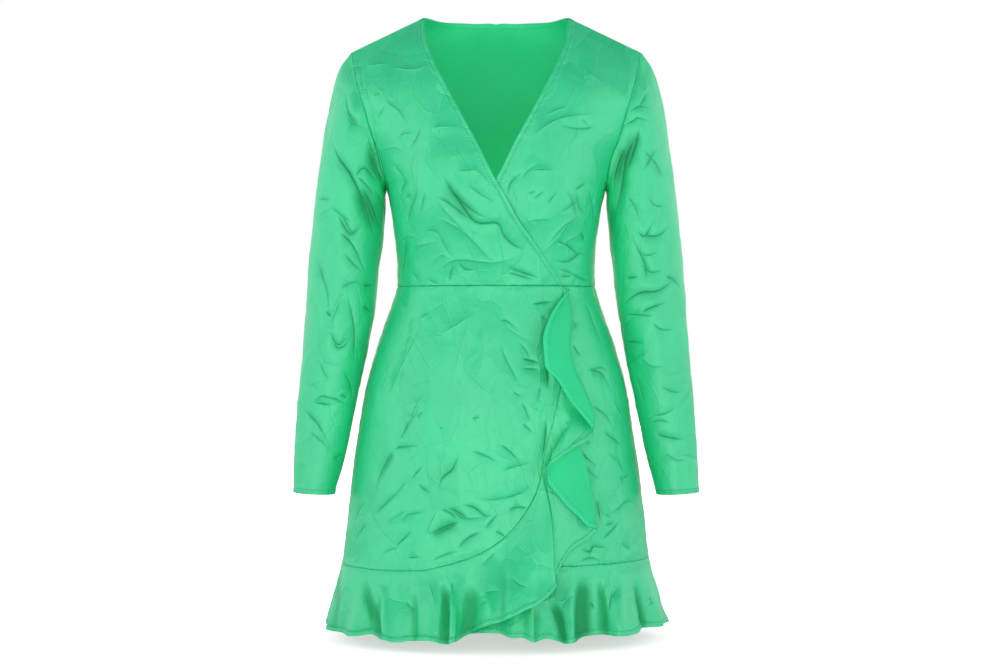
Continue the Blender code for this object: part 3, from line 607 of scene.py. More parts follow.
CREASES["bodice_back"] = turned_round(
    CREASES["bodice_front_right"][7:], 12, -4, 1.05) + turned_round(CREASES["bodice_front_left"][2:], 6, 14, 1.0)
CREASES["skirt_back"] = turned_round(
    CREASES["skirt_front_right"], 8, 10, 1.1) + turned_round(CREASES["skirt_front_left"], -6, -9, 1.05)
FOLDS["flounce_back"] = turned_round(
    FOLDS["flounce_front_right"], 6, 0, 1.0) + turned_round(FOLDS["flounce_front_left"], -8, 0, 1.0)


def smooth(knots, values, at):
    """The values at the given places, on a smooth curve through the knots that never overshoots them."""
    at = np.clip(at, knots[0], knots[-1])
    step = np.diff(knots)
    rise = np.diff(values) / step
    near, far = rise[:-1], rise[1:]
    turning = near * far <= 0
    near, far = np.where(turning, 1, near), np.where(turning, 1, far)
    weight_near = 2 * step[1:] + step[:-1]
    weight_far = step[1:] + 2 * step[:-1]
    mean = (weight_near + weight_far) / (weight_near / near + weight_far / far)
    slope = np.concatenate([rise[:1], np.where(turning, 0, mean), rise[-1:]])
    i = np.clip(np.searchsorted(knots, at, side="right") - 1, 0, len(step) - 1)
    t = (at - knots[i]) / step[i]
    ends = values[i] * (1 + 2 * t) * (1 - t) ** 2 + values[i + 1] * t * t * (3 - 2 * t)
    return ends + step[i] * (slope[i] * t * (1 - t) ** 2 - slope[i + 1] * t * t * (1 - t))


def read(rows, key, at, *columns):
    """The named columns of a table where its key column has the given values. The key may run either way."""
    knots = rows[key]
    way = 1 if knots[-1] > knots[0] else -1
    return [smooth(way * knots, rows[column], way * np.asarray(at, float)) for column in columns]


def ease(share):
    share = np.clip(share, 0, 1)
    return share * share * (3 - 2 * share)


def unit(vectors):
    return vectors / np.linalg.norm(vectors, axis=-1, keepdims=True)


def rounding(angle):
    """How far a level section stands out at an angle from its middle: 1 in the middle, 0 at the side."""
    return np.cos(angle) * (1 + SECTION_FULLNESS * np.sin(angle) ** 2)


def skirt_form(turn, z):
    half_width, front, back = read(SKIRT_FORM, "z", z, "half_width", "front", "back")
    angle = np.radians(turn)
    depth = np.where(np.cos(angle) > 0, front, back)
    return np.stack([half_width * np.sin(angle), -depth * rounding(angle), z + 0 * angle], axis=-1)


def lifted(turn, z, lift, over=False):
    """A point off the skirt's form. On the over layer the wrap's own thickness is added."""
    point = skirt_form(turn, z)
    along = skirt_form(turn + 0.5, z) - skirt_form(turn - 0.5, z)
    outward = unit(np.stack([-along[..., 1], along[..., 0], 0 * along[..., 0]], axis=-1)) * -1
    if over:
        lift = lift + wrap_layer(point[..., 0])
    return point + outward * np.asarray(lift)[..., None]


def wrap_layer(x):
    """The over front lies on the side seam's layer at its side, and off the under front where they wrap."""
    return WRAP_LAYER * ease((x - WRAP_START_X) / WRAP_RUN["x"])


def grid_normals(points, ring=False):
    """Outward unit normals of a grid of points. A ring's columns go all the way round."""
    if ring:
        closed = np.concatenate([points[:, -1:], points, points[:, :1]], axis=1)
        across = (closed[:, 2:] - closed[:, :-2]) / 2
    else:
        across = np.gradient(points, axis=1)
    normals = unit(np.cross(across, np.gradient(points, axis=0)))
    middle = points.mean(axis=(0, 1)) if ring else np.array([0, 0, 0])
    radial = (points - middle) * (1, 1, 0)
    return normals if (normals * radial).sum() > 0 else -normals


def bodice_form(half, rise, across):
    middle_y, middle_z = read(half["centre"], "rise", rise, "y", "z")
    side_x, side_y, side_z, turn = read(half["side"], "rise", rise, "x", "y", "z", "turn")
    turn = np.radians(turn)
    share = np.sin(across * turn) / np.sin(turn)
    stands_out = (rounding(across * turn) - rounding(turn)) / (1 - rounding(turn))
    falls = np.hypot(share, SHOULDER_ROUNDING) - SHOULDER_ROUNDING
    falls = falls / (np.hypot(1, SHOULDER_ROUNDING) - SHOULDER_ROUNDING)
    return np.stack([
        side_x * share,
        side_y + (middle_y - side_y) * stands_out,
        middle_z + (side_z - middle_z) * falls,
    ], axis=-1)


def neck_across(rise):
    """Where the neck edge of the right front lies, at each rise, found by halving."""
    low, high = -np.ones_like(rise), np.ones_like(rise)
    for _ in range(HALVINGS):
        middle = (low + high) / 2
        point = bodice_form(FRONT, rise, middle)
        (edge_x,) = read(NECK_EDGE, "z", point[..., 2], "x")
        inside = point[..., 0] < edge_x
        low, high = np.where(inside, middle, low), np.where(inside, high, middle)
    return low


def with_bust(points):
    """The front eased over the bust by its darts, one low mound a side."""
    x, z = np.abs(points[..., 0]) - BUST["x"], points[..., 2] - BUST["z"]
    reach = np.clip(1 - (x / BUST["half_width"]) ** 2 - (z / BUST["half_height"]) ** 2, 0, 1)
    points[..., 1] -= BUST["height"] * reach**2
    return points


def skirt_edge_lengths():
    """How far along the over skirt's sewn edge each row of its table lies."""
    points = skirt_form(SKIRT_EDGE["turn"], SKIRT_EDGE["z"])
    steps = np.linalg.norm(np.diff(points, axis=0), axis=1)
    return np.concatenate([[0], np.cumsum(steps)])


def skirt_edge(along):
    lengths = skirt_edge_lengths()
    return [smooth(lengths, SKIRT_EDGE[column], np.asarray(along, float)) for column in ("turn", "z")]


def along_at(turn):
    """How far along its seam the flounce meets the skirt at a turn, on the hem."""
    return np.interp(-np.asarray(turn, float), -SKIRT_EDGE["turn"], skirt_edge_lengths())


def hem_z(turn):
    """The height of the flounce's seam round the under front and the back."""
    return HEM_Z_LEFT + (HEM_Z_RIGHT - HEM_Z_LEFT) * (1 - np.cos(np.radians(np.asarray(turn) - 90))) / 2


def flounce_grid(seam, near_turn, bend, edge, rows, over=False):
    """Lines from the seam to the free edge, each a curve towards a bend, in turn, z and lift."""
    share = np.linspace(0, 1, rows)[:, None]
    seam, bend, edge = [np.array(np.broadcast_arrays(*place)) for place in (seam, bend, edge)]
    rising = np.minimum(bend[1], seam[1] + FLOUNCE_NEAR["fall"] * (bend[1] - seam[1]))
    near_bend = np.array([near_turn, rising, FLOUNCE_NEAR["lift"] * bend[2]])
    turn, z, lift = [
        seam[i] * (1 - share) ** 3 + near_bend[i] * 3 * share * (1 - share) ** 2
        + bend[i] * 3 * share**2 * (1 - share) + edge[i] * share**3
        for i in range(3)
    ]
    return lifted(turn, z, lift, over)


def hem_bend(seam_z, turn, z, lift):
    return turn, (seam_z + z) / 2, FLOUNCE_BEND_LIFT * lift


FINE_LINES = 161  # samples along a form before it is spaced out evenly
FORM_COLUMNS = {"bodice_front": 121, "bodice_back": 241, "skirt_front": 141, "skirt_back": 181}
ARMHOLE_HALF = 56  # steps of the armhole's front, and of its back
FLOUNCE_ROWS = {"over": 90, "level": 60}
WAVE_LINES = 40  # columns to each row of a flounce's table
GRID_STEP = {"front": 0.0019, "sleeve": 0.0022, "back": 0.0031, "hidden": 0.0045}
STEPS = {
    # grid lines close to an edge, so that its sewing has a shape
    "hem": np.array([0, 0.6, 1.5, 2.8, 4.2, 5.3, 6.0, 6.6, 7.3, 8.0, 8.8, 10.2]) / 1000,
    "seam": np.array([0, 0.9, 2.0, 3.4, 5.2]) / 1000,
    "plain": np.array([0.0]),
}

# Listed creases, in millimetres
CREASE_CORE = 1.9  # half the width of a crease's sharp middle
CREASE_ROUND = 0.3  # how blunt that middle is
CREASE_SHARP = 0.28  # height of the middle, as a share of a crease's depth
CREASE_SOFT = {"height": 0.095, "narrowest": 3}  # height of its soft sides, which grows with its width
CREASE_LEAN = 1.35  # how much steeper a crease is on one side
CREASE_ENDS = {"first": 3.2, "last": 2.2}  # how soon it grows and dies away
CREASE_REACH = 6  # widths beside a crease, past which it no longer counts
CREASE_LINE_REACH = 2.5  # how fast a crease gives way to a nearer one
FOLD_GROWTH = {"share": 2.2, "seam": 0.03}  # how soon a flounce's fold grows from its seam
HOLLOW_SHADE_DEPTH = 0.006  # in metres below the form, where a hollow's painted shade is darkest
HOLLOW_SHADE_START = 0.15  # share of it that gets no painted shade
UNDER_PRESS = 0.0006  # the under layer lies this far inside the over one's hollows
SHOWN_EDGE = 0.006  # over which the under layer comes out of the wrap
SLEEVE_SIDE = {"middle": 0.15, "change": 1.3}  # where a sleeve's front creases give way to its back's
SLEEVE_BACK_SHIFT = (0, -14)
SLEEVE_CRUMPLE = 1.4  # of the other pieces' crumple

# Crushed satin between them: the sizes of its patterns across, along and down, in metres
CRUMPLE_SIZE = {"warp": 0.05, "large": (0.045, 0.045, 0.07), "facets": (0.042, 0.06, 0.062), "patches": 0.055,
                "small": (0.012, 0.02, 0.02)}
CRUMPLE_SHARE = {"large": 0.8, "small": 0.3, "troughs": 0.7, "ridges": 0.5}
CRUMPLE_WARP = 0.02
FACET_EDGE = {"troughs": 0.11, "ridges": 0.15}  # width of the lines between facets

# What sewing does to the cloth beside it: the height and width of each line or pucker, in metres
SEWN = {
    "hem step": (0.00045, 0.0012),
    "hem stitches": (-0.0003, 0.0009),
    "hem edge": (-0.0003, 0.0008),
    "hem pucker": (0.0007, 0.0042),
    "seam line": (-0.0006, 0.001),
    "seam pucker": (0.0008, 0.007),
    "seam flat": (1, 0.002),
}
PUCKER_SIZE = {"along": 0.0075, "across": 0.02}
# How far from an edge its creases come back, in metres
CREASES_RETURN = {"hem": 0.012, "band": 0.02, "seam": 0.007}


def mixed_bits(cells, seed):
    """A repeatable whole number for each lattice cell."""
    x, y, z = np.moveaxis(cells, -1, 0)
    mixed = (x * 73856093) ^ (y * 19349663) ^ (z * 83492791) ^ (seed * 2654435761)
    return (mixed ^ (mixed >> 13)) * 1274126177 & 0x7FFFFFFF


def value_noise(places, seed):
    """Smooth noise from -1 to 1 at an array of three-number places, one lattice cell a unit."""
    cell = np.floor(places).astype(np.int64)
    inside = places - cell
    inside = inside * inside * (3 - 2 * inside)
    total = 0
    for corner in range(8):
        step = np.array([corner & 1, corner >> 1 & 1, corner >> 2])
        value = (mixed_bits(cell + step, seed) >> 7 & 0xFFFF) / 32767.5 - 1
        total = total + value * np.prod(np.where(step, inside, 1 - inside), axis=-1)
    return total


def facet_edges(places, seed):
    """How far each place is from the nearest border between straight-sided facets, one facet a unit."""
    cell = np.floor(places).astype(np.int64)
    nearest = np.full(places.shape[:-1], 9.0)
    second = nearest.copy()
    for number in range(27):
        other = cell + np.array([number % 3, number // 3 % 3, number // 9]) - 1
        bits = mixed_bits(other, seed)
        centre = other + np.stack([bits >> 3 & 0xFF, bits >> 11 & 0xFF, bits >> 19 & 0xFF], axis=-1) / 255
        gap = np.linalg.norm(places - centre, axis=-1)
        second = np.minimum(second, np.maximum(gap, nearest))
        nearest = np.minimum(nearest, gap)
    return second - nearest


def spread(points, first, last, step, hidden=0):
    """A grid with its rows spaced out evenly along each column, and close together at sewn ends. A hidden
    share at its start has wider steps."""
    runs = runs_along(points)
    length = runs[-1]
    near, far = STEPS[first][:, None], STEPS[last][::-1, None]
    room = near[-1] + far[0]
    squeeze = np.minimum(1, length / (room + 2 * step)) if room > 0 else 1
    near, far = near * squeeze, far * squeeze
    usual = float(np.percentile(length, 75))
    wide = np.linspace(0, hidden, round(usual * hidden / GRID_STEP["hidden"]) + 1)[:-1]
    share = np.concatenate([wide, np.linspace(hidden, 1, max(3, round(usual * (1 - hidden) / step)))])
    share = share[1:-1, None]
    places = np.concatenate([near + 0 * length, near[-1] + share * (length - near[-1] - far[0]), length - far])
    out = np.empty((len(places), *points.shape[1:]))
    for column in range(points.shape[1]):
        for axis in range(3):
            out[:, column, axis] = np.interp(places[:, column], runs[:, column], points[:, column, axis])
    return out


def spread_across(points, first, last, step, hidden=0):
    return spread(points.swapaxes(0, 1), first, last, step, hidden).swapaxes(0, 1)


def runs_along(points):
    """How far each point is from the first row, along its column."""
    runs = np.linalg.norm(np.diff(points, axis=0), axis=-1)
    return np.concatenate([np.zeros_like(runs[:1]), np.cumsum(runs, axis=0)])


def curve_through(places):
    """Points on a smooth curve through the given (x, z) places."""
    padded = np.concatenate([2 * places[:1] - places[1:2], places, 2 * places[-1:] - places[-2:-1]])
    a, b, c, d = padded[:-3, None], padded[1:-2, None], padded[2:-1, None], padded[3:, None]
    t = np.linspace(0, 1, 5)[None, :-1, None]
    curve = b + (c - a) / 2 * t + (a - 2.5 * b + 2 * c - d / 2) * t**2 + (1.5 * (b - c) + (d - a) / 2) * t**3
    return np.concatenate([curve.reshape(-1, 2), places[-1:]])


def near_creases(points, rows, shift, flip):
    """The places near each listed crease: which they are, how far beside it and along it they are, and the
    nearest stretch of it. Lengths are in millimetres, as seen from the front."""
    x, z = points[..., 0] * 1000 - shift[0], points[..., 2] * 1000 - shift[1]
    at_all = np.stack([-x if flip else x, z], axis=-1)
    for depth, width, *places in rows:
        line = curve_through(np.array(places, float).reshape(-1, 2))
        low, high = line.min(axis=0) - CREASE_REACH * width, line.max(axis=0) + CREASE_REACH * width
        near = ((at_all > low) & (at_all < high)).all(axis=-1)
        if not near.any():
            continue
        at, start, along = at_all[near][:, None], line[None, :-1], np.diff(line, axis=0)[None]
        share = np.clip(((at - start) * along).sum(axis=-1) / (along**2).sum(axis=-1), 0, 1)
        gap = np.linalg.norm(at - start - along * share[..., None], axis=-1)
        nearest = gap.argmin(axis=1)
        pick = np.arange(len(nearest))
        done = (nearest + share[pick, nearest]) / (len(line) - 1)
        length = np.linalg.norm(along[0], axis=-1).sum()
        yield near, depth, width, gap[pick, nearest], done, start[0][nearest], along[0][nearest], length


def mound(away, width):
    """A round rise of height 1, by the distance from its middle."""
    return np.exp(-((away / width) ** 2))


def crease_fade(done):
    """How strong a crease is at each share of its length."""
    return ease(np.minimum(done * CREASE_ENDS["first"], (1 - done) * CREASE_ENDS["last"]))


def beside(at, start, along):
    """The signed distance of places from the line through a stretch of a crease."""
    away = at - start
    return (away[..., 1] * along[..., 0] - away[..., 0] * along[..., 1]) / np.linalg.norm(along, axis=-1)


def crease_relief(points, rows, shift=(0, 0), flip=False):
    """The height of listed creases at each point. A row is depth and width in millimetres and then x, z
    pairs: a positive depth is a ridge and a negative one a trough. Each is steep on one side."""
    relief = np.zeros(points.shape[:-1])
    for near, depth, width, gap, done, start, along, _ in near_creases(points, rows, shift, flip):
        at = points[near][:, [0, 2]] * 1000 - shift
        side = beside(at * ((-1, 1) if flip else (1, 1)), start, along)
        gap = gap * np.where(side > 0, CREASE_LEAN, 1 / CREASE_LEAN)
        sharp = CREASE_SHARP * np.exp(CREASE_ROUND - np.hypot(gap / CREASE_CORE, CREASE_ROUND))
        soft = CREASE_SOFT["height"] * (width - CREASE_SOFT["narrowest"]) * mound(gap, width)
        relief[near] += depth * crease_fade(done) * (sharp + soft)
    return relief / 1000


def fold_relief(points, name):
    """The height of a flounce's listed folds, which grow from nothing at its seam."""
    relief = np.zeros(points.shape[:-1])
    for near, depth, width, gap, done, *_ in near_creases(points, FOLDS.get(name, []), (0, 0), False):
        relief[near] += depth * ease(FOLD_GROWTH["share"] * done) * mound(gap, width)
    return relief / 1000 * ease(runs_along(points) / FOLD_GROWTH["seam"])


def crease_sets(name, points):
    """The listed creases of a piece, each set with its shift, whether it is mirrored, and how much of it
    shows at each point."""
    if "sleeve" in name:
        other = "sleeve_left" if name == "sleeve_right" else "sleeve_right"
        turned = grid_normals(points, ring=True)[..., 1]
        middle, change = SLEEVE_SIDE.values()
        return [(CREASES[name], (0, 0), False, ease(middle - change * turned)),
                (CREASES[other], SLEEVE_BACK_SHIFT, True, ease(middle + change * turned))]
    return [(CREASES.get(name, []), (0, 0), False, shown_share(name, points))]


def shown_share(name, points):
    """How much of an under layer shows at each point, as the wrap hides the rest."""
    wraps_at = {"bodice_front_left": neck_line_x, "skirt_front_left": wrap_edge_x}.get(name)
    if wraps_at:
        return ease((points[..., 0] - wraps_at(points)) / SHOWN_EDGE + 1)
    return np.ones(points.shape[:-1])


def crease_map(name, points, quads):
    """For each corner of each face, its signed distance from the nearest crease line and that crease's depth, in
    millimetres."""
    corners = points.reshape(-1, 3)[quads]
    middles = corners.mean(axis=1)
    found = np.zeros(len(quads))
    out = np.zeros((len(quads), 4, 2))
    for rows, shift, flip, weight in crease_sets(name, points):
        weight = weight.reshape(-1)[quads].mean(axis=1)
        mirrored = np.array((-1, 1) if flip else (1, 1))
        at = (corners[..., [0, 2]] * 1000 - shift) * mirrored
        middle = (middles[:, [0, 2]] * 1000 - shift) * mirrored
        for near, depth, _, gap, done, start, along, length in near_creases(middles, rows, shift, flip):
            score = abs(depth) * crease_fade(done) * weight[near] * np.exp(-gap / CREASE_LINE_REACH)
            better = score > found[near]
            chosen = np.flatnonzero(near)[better]
            found[chosen] = score[better]
            start, along = start[better][:, None], along[better][:, None]
            further = ((at[chosen] - middle[chosen][:, None]) * along).sum(axis=-1)
            further = further / np.linalg.norm(along, axis=-1) / length
            out[chosen, :, 0] = beside(at[chosen], start, along)
            strength = crease_fade(np.clip(done[better][:, None] + further, 0, 1)) * weight[chosen][:, None]
            out[chosen, :, 1] = depth * strength
    return out


def crumple_relief(points, seed):
    """The unevenness of crushed satin between its main creases."""
    lean = np.array([[0.8, 0, 0.45], [0, 1, 0], [-0.5, 0, 0.9]])
    at = points @ lean
    warp = value_noise(at / CRUMPLE_SIZE["warp"], seed)[..., None] * CRUMPLE_WARP
    large = value_noise((at + warp) / CRUMPLE_SIZE["large"], seed + 1)
    facets = (at + 0.4 * warp) / CRUMPLE_SIZE["facets"]
    troughs = np.exp(-facet_edges(facets, seed + 3) / FACET_EDGE["troughs"])
    ridges = np.exp(-facet_edges(1.5 * facets[..., ::-1], seed + 5) / FACET_EDGE["ridges"])
    patches = 1.3 * value_noise(at / CRUMPLE_SIZE["patches"], seed + 7)
    small = value_noise((at + warp) / CRUMPLE_SIZE["small"], seed + 9)
    share = CRUMPLE_SHARE
    return (share["large"] * large + share["small"] * small - share["troughs"] * ease(0.5 + patches) * troughs
            + share["ridges"] * ease(0.5 - patches) * ridges)


def sewn_line(name, away):
    height, width = SEWN[name]
    return height * mound(away, width)


def sewn_relief(kind, gap, along, seed):
    """The shape that an edge's sewing gives the cloth next to it, and how much of the creases it lets through."""
    places = np.stack([along / PUCKER_SIZE["along"], gap / PUCKER_SIZE["across"], 0 * along], axis=-1)
    ripple = value_noise(places, seed)
    if kind in ("hem", "band"):
        line = gap - STITCH_INSET
        height, width = SEWN["hem step"]
        shape = height * ease((HEM_WIDTH - gap) / width + 0.5)
        shape += sewn_line("hem stitches", line) + sewn_line("hem edge", gap)
        if kind == "band":
            return shape, ease(gap / CREASES_RETURN["band"] - 0.2)
        return shape + ripple * sewn_line("hem pucker", line), 0.6 + 0.4 * ease(gap / CREASES_RETURN["hem"])
    if kind == "seam":
        pucker = ripple * sewn_line("seam pucker", gap) * (1 - sewn_line("seam flat", gap))
        return sewn_line("seam line", gap) + pucker, ease(gap / CREASES_RETURN["seam"])
    return np.zeros_like(gap), np.ones_like(gap)


def with_relief(points, edges, relief, ring=False):
    """The grid moved out along its own normals by its creases and by the sewing at its four edges, and for each
    point how far along the nearest sewn edge and how far beside its stitches it is, in millimetres, and how deep
    in a hollow it lies, from 0 to 1, which sets how much painted shade the material puts there."""
    down = runs_along(points)
    across = runs_along(points.swapaxes(0, 1)).swapaxes(0, 1)
    gaps = {"first_row": down, "last_row": down[-1] - down, "first_column": across,
            "last_column": across[:, -1:] - across}
    shape = 0
    sewing = np.stack([across, np.full(across.shape, 1.0)], axis=-1)
    for number, (edge, kind) in enumerate(edges.items()):
        kinds = kind if isinstance(kind, list) else [(kind, np.ones(down.shape))]
        along = across if "row" in edge else down
        for kind, where in kinds:
            sewn, through = sewn_relief(kind, gaps[edge], along, 40 + number)
            shape = shape + sewn * where
            relief = relief * (1 - where * (1 - through))
            beside_stitches = gaps[edge] - (STITCH_INSET if kind in ("hem", "band") else 0)
            nearer = (np.abs(beside_stitches) < np.abs(sewing[..., 1])) & (where > 0.5) & (kind != "plain")
            sewing[nearer] = np.stack([along, beside_stitches], axis=-1)[nearer]
    # Painted shade: the deeper a point lies in a hollow of the relief, the darker its colour is painted
    hollow_shade = np.clip(-relief / HOLLOW_SHADE_DEPTH - HOLLOW_SHADE_START, 0, 1)
    sewing = np.concatenate([sewing * 1000, hollow_shade[..., None]], axis=-1)
    return points + grid_normals(points, ring) * (relief + shape)[..., None], sewing


def line_inside(points, inset):
    """The line on the cloth that runs at a distance inside its last row."""
    runs = runs_along(points)
    line = []
    for column in range(points.shape[1]):
        at = max(runs[-1, column] - inset, runs[-1, column] * 0.5)
        line.append([np.interp(at, runs[:, column], points[:, column, axis]) for axis in range(3)])
    return np.array(line)


def kept_lines(count, ring=False):
    """Every second line of a grid, and its last."""
    kept = np.arange(0, count, 2)
    return kept if ring or kept[-1] == count - 1 else np.append(kept, count - 1)


def numbered(rows, columns, ring, first=0):
    """The number of each vertex of a grid. A ring's first column comes again at its end."""
    index = first + np.arange(rows * columns).reshape(rows, columns)
    return np.concatenate([index, index[:, :1]], axis=1) if ring else index


def wall_faces(points, ring, outward):
    """The faces over a grid of points that face along or against its normals."""
    index = numbered(*points.shape[:2], ring)
    quads = np.stack([index[:-1, :-1], index[:-1, 1:], index[1:, 1:], index[1:, :-1]], axis=-1).reshape(-1, 4)
    flat = points.reshape(-1, 3)
    facing = np.cross(flat[quads[:, 2]] - flat[quads[:, 0]], flat[quads[:, 3]] - flat[quads[:, 1]])
    along = (facing * grid_normals(points, ring)[:-1, : (None if ring else -1)].reshape(-1, 3)).sum() > 0
    return quads if along == outward else quads[:, ::-1]


def rim_faces(line, inner_line, places, turned):
    """Faces between an edge of the outer wall and the same edge of the inner one, which has half its vertices."""
    faces = []
    ends = zip(places[:-1], places[1:], inner_line[:-1], inner_line[1:])
    for low, high, inner_low, inner_high in ends:
        face = [*line[low: high + 1].tolist(), int(inner_high), int(inner_low)]
        faces.append(face[::-1] if turned else face)
    return faces


def shell(name, points, sewing, ring=False):
    """A thin shell of satin on a grid of points, right side out. Its inner wall has half the grid's lines each
    way, and shows the cloth's wrong side."""
    rows, columns = points.shape[:2]
    kept_rows, kept_columns = kept_lines(rows), kept_lines(columns, ring)
    kept = np.ix_(kept_rows, kept_columns)
    lining = points[kept] - grid_normals(points, ring)[kept] * bpy.context.scene.dress_cloth.thickness
    outer, inner = wall_faces(points, ring, True), wall_faces(lining, ring, False)
    flipped = outer[0, 0] != 0
    index = numbered(rows, columns, ring)
    inner_index = numbered(*lining.shape[:2], ring, first=rows * columns)
    if ring:
        kept_columns = np.append(kept_columns, columns)
    rim = rim_faces(index[0], inner_index[0], kept_columns, not flipped)
    rim += rim_faces(index[-1], inner_index[-1], kept_columns, flipped)
    if not ring:
        rim += rim_faces(index[:, 0], inner_index[:, 0], kept_rows, flipped)
        rim += rim_faces(index[:, -1], inner_index[:, -1], kept_rows, not flipped)
    mesh = bpy.data.meshes.new(name)
    vertices = np.concatenate([points.reshape(-1, 3), lining.reshape(-1, 3)])
    mesh.from_pydata(vertices.tolist(), [], outer.tolist() + (inner + rows * columns).tolist() + rim)
    rim_corners = np.concatenate(rim)
    across = runs_along(points.swapaxes(0, 1)).swapaxes(0, 1)
    by_vertex = np.concatenate([across[..., None], runs_along(points)[..., None], sewing], axis=-1)
    by_vertex = np.concatenate([by_vertex.reshape(-1, 5), by_vertex[kept].reshape(-1, 5)])
    corners = by_vertex[np.concatenate([outer.reshape(-1), inner.reshape(-1) + rows * columns, rim_corners])]
    creases = [crease_map(name, points, outer), crease_map(name, lining, inner)]
    creases = np.concatenate([*(each.reshape(-1, 2) for each in creases), np.zeros((len(rim_corners), 2))])
    maps = {"cloth": corners[:, :2], "creases": creases, "sewing": corners[:, 2:4], "hollows": corners[:, [4, 4]]}
    for layer, values in maps.items():
        mesh.uv_layers.new(name=layer).data.foreach_set("uv", values.astype(np.float32).reshape(-1))
    mesh.materials.append(satin_material())
    mesh.materials.append(wrong_side_material())
    sides = np.zeros(len(mesh.polygons), np.int32)
    sides[len(outer): len(outer) + len(inner)] = 1
    mesh.polygons.foreach_set("material_index", sides)
    mesh.shade_smooth()
    return placed(name + "_cloth", mesh)


def placed(name, data):
    """A new object of the given data, in the scene."""
    thing = bpy.data.objects.new(name, data)
    bpy.context.scene.collection.objects.link(thing)
    return thing


def carry(piece, node, stitches=()):
    """Hands a finished piece of cloth over: it rides with the dress and stands for its solid."""
    flat, area, sewn_to = PIECES[node]
    for each in (piece, *stitches):
        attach(each, "root")
    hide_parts(node)
    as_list(sewn_to)


# ---------------------------------------------------------------------------------------------- bodice


def front_form(over):
    rises = np.linspace(0, 1, FINE_LINES)[:, None]
    across = -1 + np.linspace(0, 1, FORM_COLUMNS["bodice_front"]) * (neck_across(rises) + 1)
    points = with_bust(bodice_form(FRONT, rises + 0 * across, across))
    if over:
        layer = wrap_layer(points[..., 0]) * ease((WRAP_START_Z - points[..., 2]) / WRAP_RUN["z"])
        level = unit(grid_normals(points) * (1, 1, 0))
        return points + level * layer[..., None]
    return points[:, ::-1] * (-1, 1, 1)


def back_form():
    across = np.linspace(-1, 1, FORM_COLUMNS["bodice_back"])
    top = BACK_NECK_RISE + (1 - BACK_NECK_RISE) * np.clip(np.abs(across) / BACK_NECK_ACROSS, 0, 1)
    rises = np.linspace(0, 1, FINE_LINES)[:, None] * top
    return bodice_form(BACK, rises, across + 0 * rises)


def layer_relief(points, name):
    """The creases and crumple of one layer of cloth."""
    cloth = bpy.context.scene.dress_cloth
    crumple = crumple_relief(points, 10 * list(PIECES).index(name)) * cloth.crumple
    return cloth.crease_strength * (crease_relief(points, CREASES[name]) + crumple)


def under_relief(points, name, over_name):
    """Relief of an under layer: its own where it shows, and under the wrap the over layer's, pressed in."""
    shown = shown_share(name, points)
    pressed = np.minimum(layer_relief(points, over_name), 0) - UNDER_PRESS
    return layer_relief(points, name) * shown + pressed * (1 - shown)


def neck_line_x(points):
    return read(NECK_EDGE, "z", points[..., 2], "x")[0]


def make_bodice_front(name):
    over = name == "bodice_front_right"
    points = spread(front_form(over), "seam", "seam", GRID_STEP["front"])
    side_kinds = ("seam", "hem") if over else ("hem", "seam")
    points = spread_across(points, *side_kinds, GRID_STEP["front"])
    edges = {"first_row": "seam", "last_row": "seam", "first_column": side_kinds[0], "last_column": side_kinds[1]}
    relief = layer_relief(points, name) if over else under_relief(points, name, "bodice_front_right")
    points, sewing = with_relief(points, edges, relief)
    edge_first = points.swapaxes(0, 1)
    line = line_inside(edge_first if over else edge_first[::-1], STITCH_INSET)
    return points, sewing, line


def make_bodice_back(name):
    points = spread(back_form(), "seam", "hem", GRID_STEP["back"])
    points = spread_across(points, "seam", "seam", GRID_STEP["back"])
    neck = ease((BACK_NECK_HALF - np.abs(points[..., 0])) / BACK_NECK_END)
    edges = {"first_row": "seam", "last_row": [("band", neck), ("seam", 1 - neck)], "first_column": "seam",
             "last_column": "seam"}
    points, sewing = with_relief(points, edges, layer_relief(points, name))
    line = line_inside(points, STITCH_INSET)
    return points, sewing, line[np.abs(line[:, 0]) < BACK_NECK_HALF - BACK_NECK_END]


class DRESS_OT_bodice(bpy.types.Operator):
    """Make the two wrapped fronts and the back of the bodice"""

    bl_idname = "dress.bodice"
    bl_label = "Bodice"

    def execute(self, context):
        for name, make in {"bodice_front_right": make_bodice_front, "bodice_front_left": make_bodice_front,
                           "bodice_back": make_bodice_back}.items():
            points, sewing, line = make(name)
            carry(shell(name, points, sewing), name, [stitch_rows(name, [line])])
        return {"FINISHED"}


# --------------------------------------------------------------------------------------------- sleeves


def armhole_loop(half_count):
    """The armhole from the shoulder down the front and up the back, on the right side of the body."""
    rises = np.linspace(0.5, 1, half_count + 1)
    side = -np.ones_like(rises)
    down = bodice_form(FRONT, rises, side)[::-1]
    up = bodice_form(BACK, rises, side)
    return np.concatenate([down, up[1:-1]])


def sleeve_form():
    loop = armhole_loop(ARMHOLE_HALF)
    rings = np.linspace(0, 1, FINE_LINES)[:, None]
    angle = np.arange(len(loop)) * 2 * np.pi / len(loop)
    outer_x, outer_z, inner_x, inner_z, middle_y, half_depth = read(
        SLEEVE, "ring", rings, "outer_x", "outer_z", "inner_x", "inner_z", "middle_y", "half_depth")
    x = -((outer_x + inner_x) + (outer_x - inner_x) * np.cos(angle)) / 2
    z = ((outer_z + inner_z) + (outer_z - inner_z) * np.cos(angle)) / 2
    ovals = np.stack([x, middle_y - half_depth * np.sin(angle), z], axis=-1)
    return ovals + (loop - ovals[0]) * (1 - ease(rings / SLEEVE_CAP))[..., None]


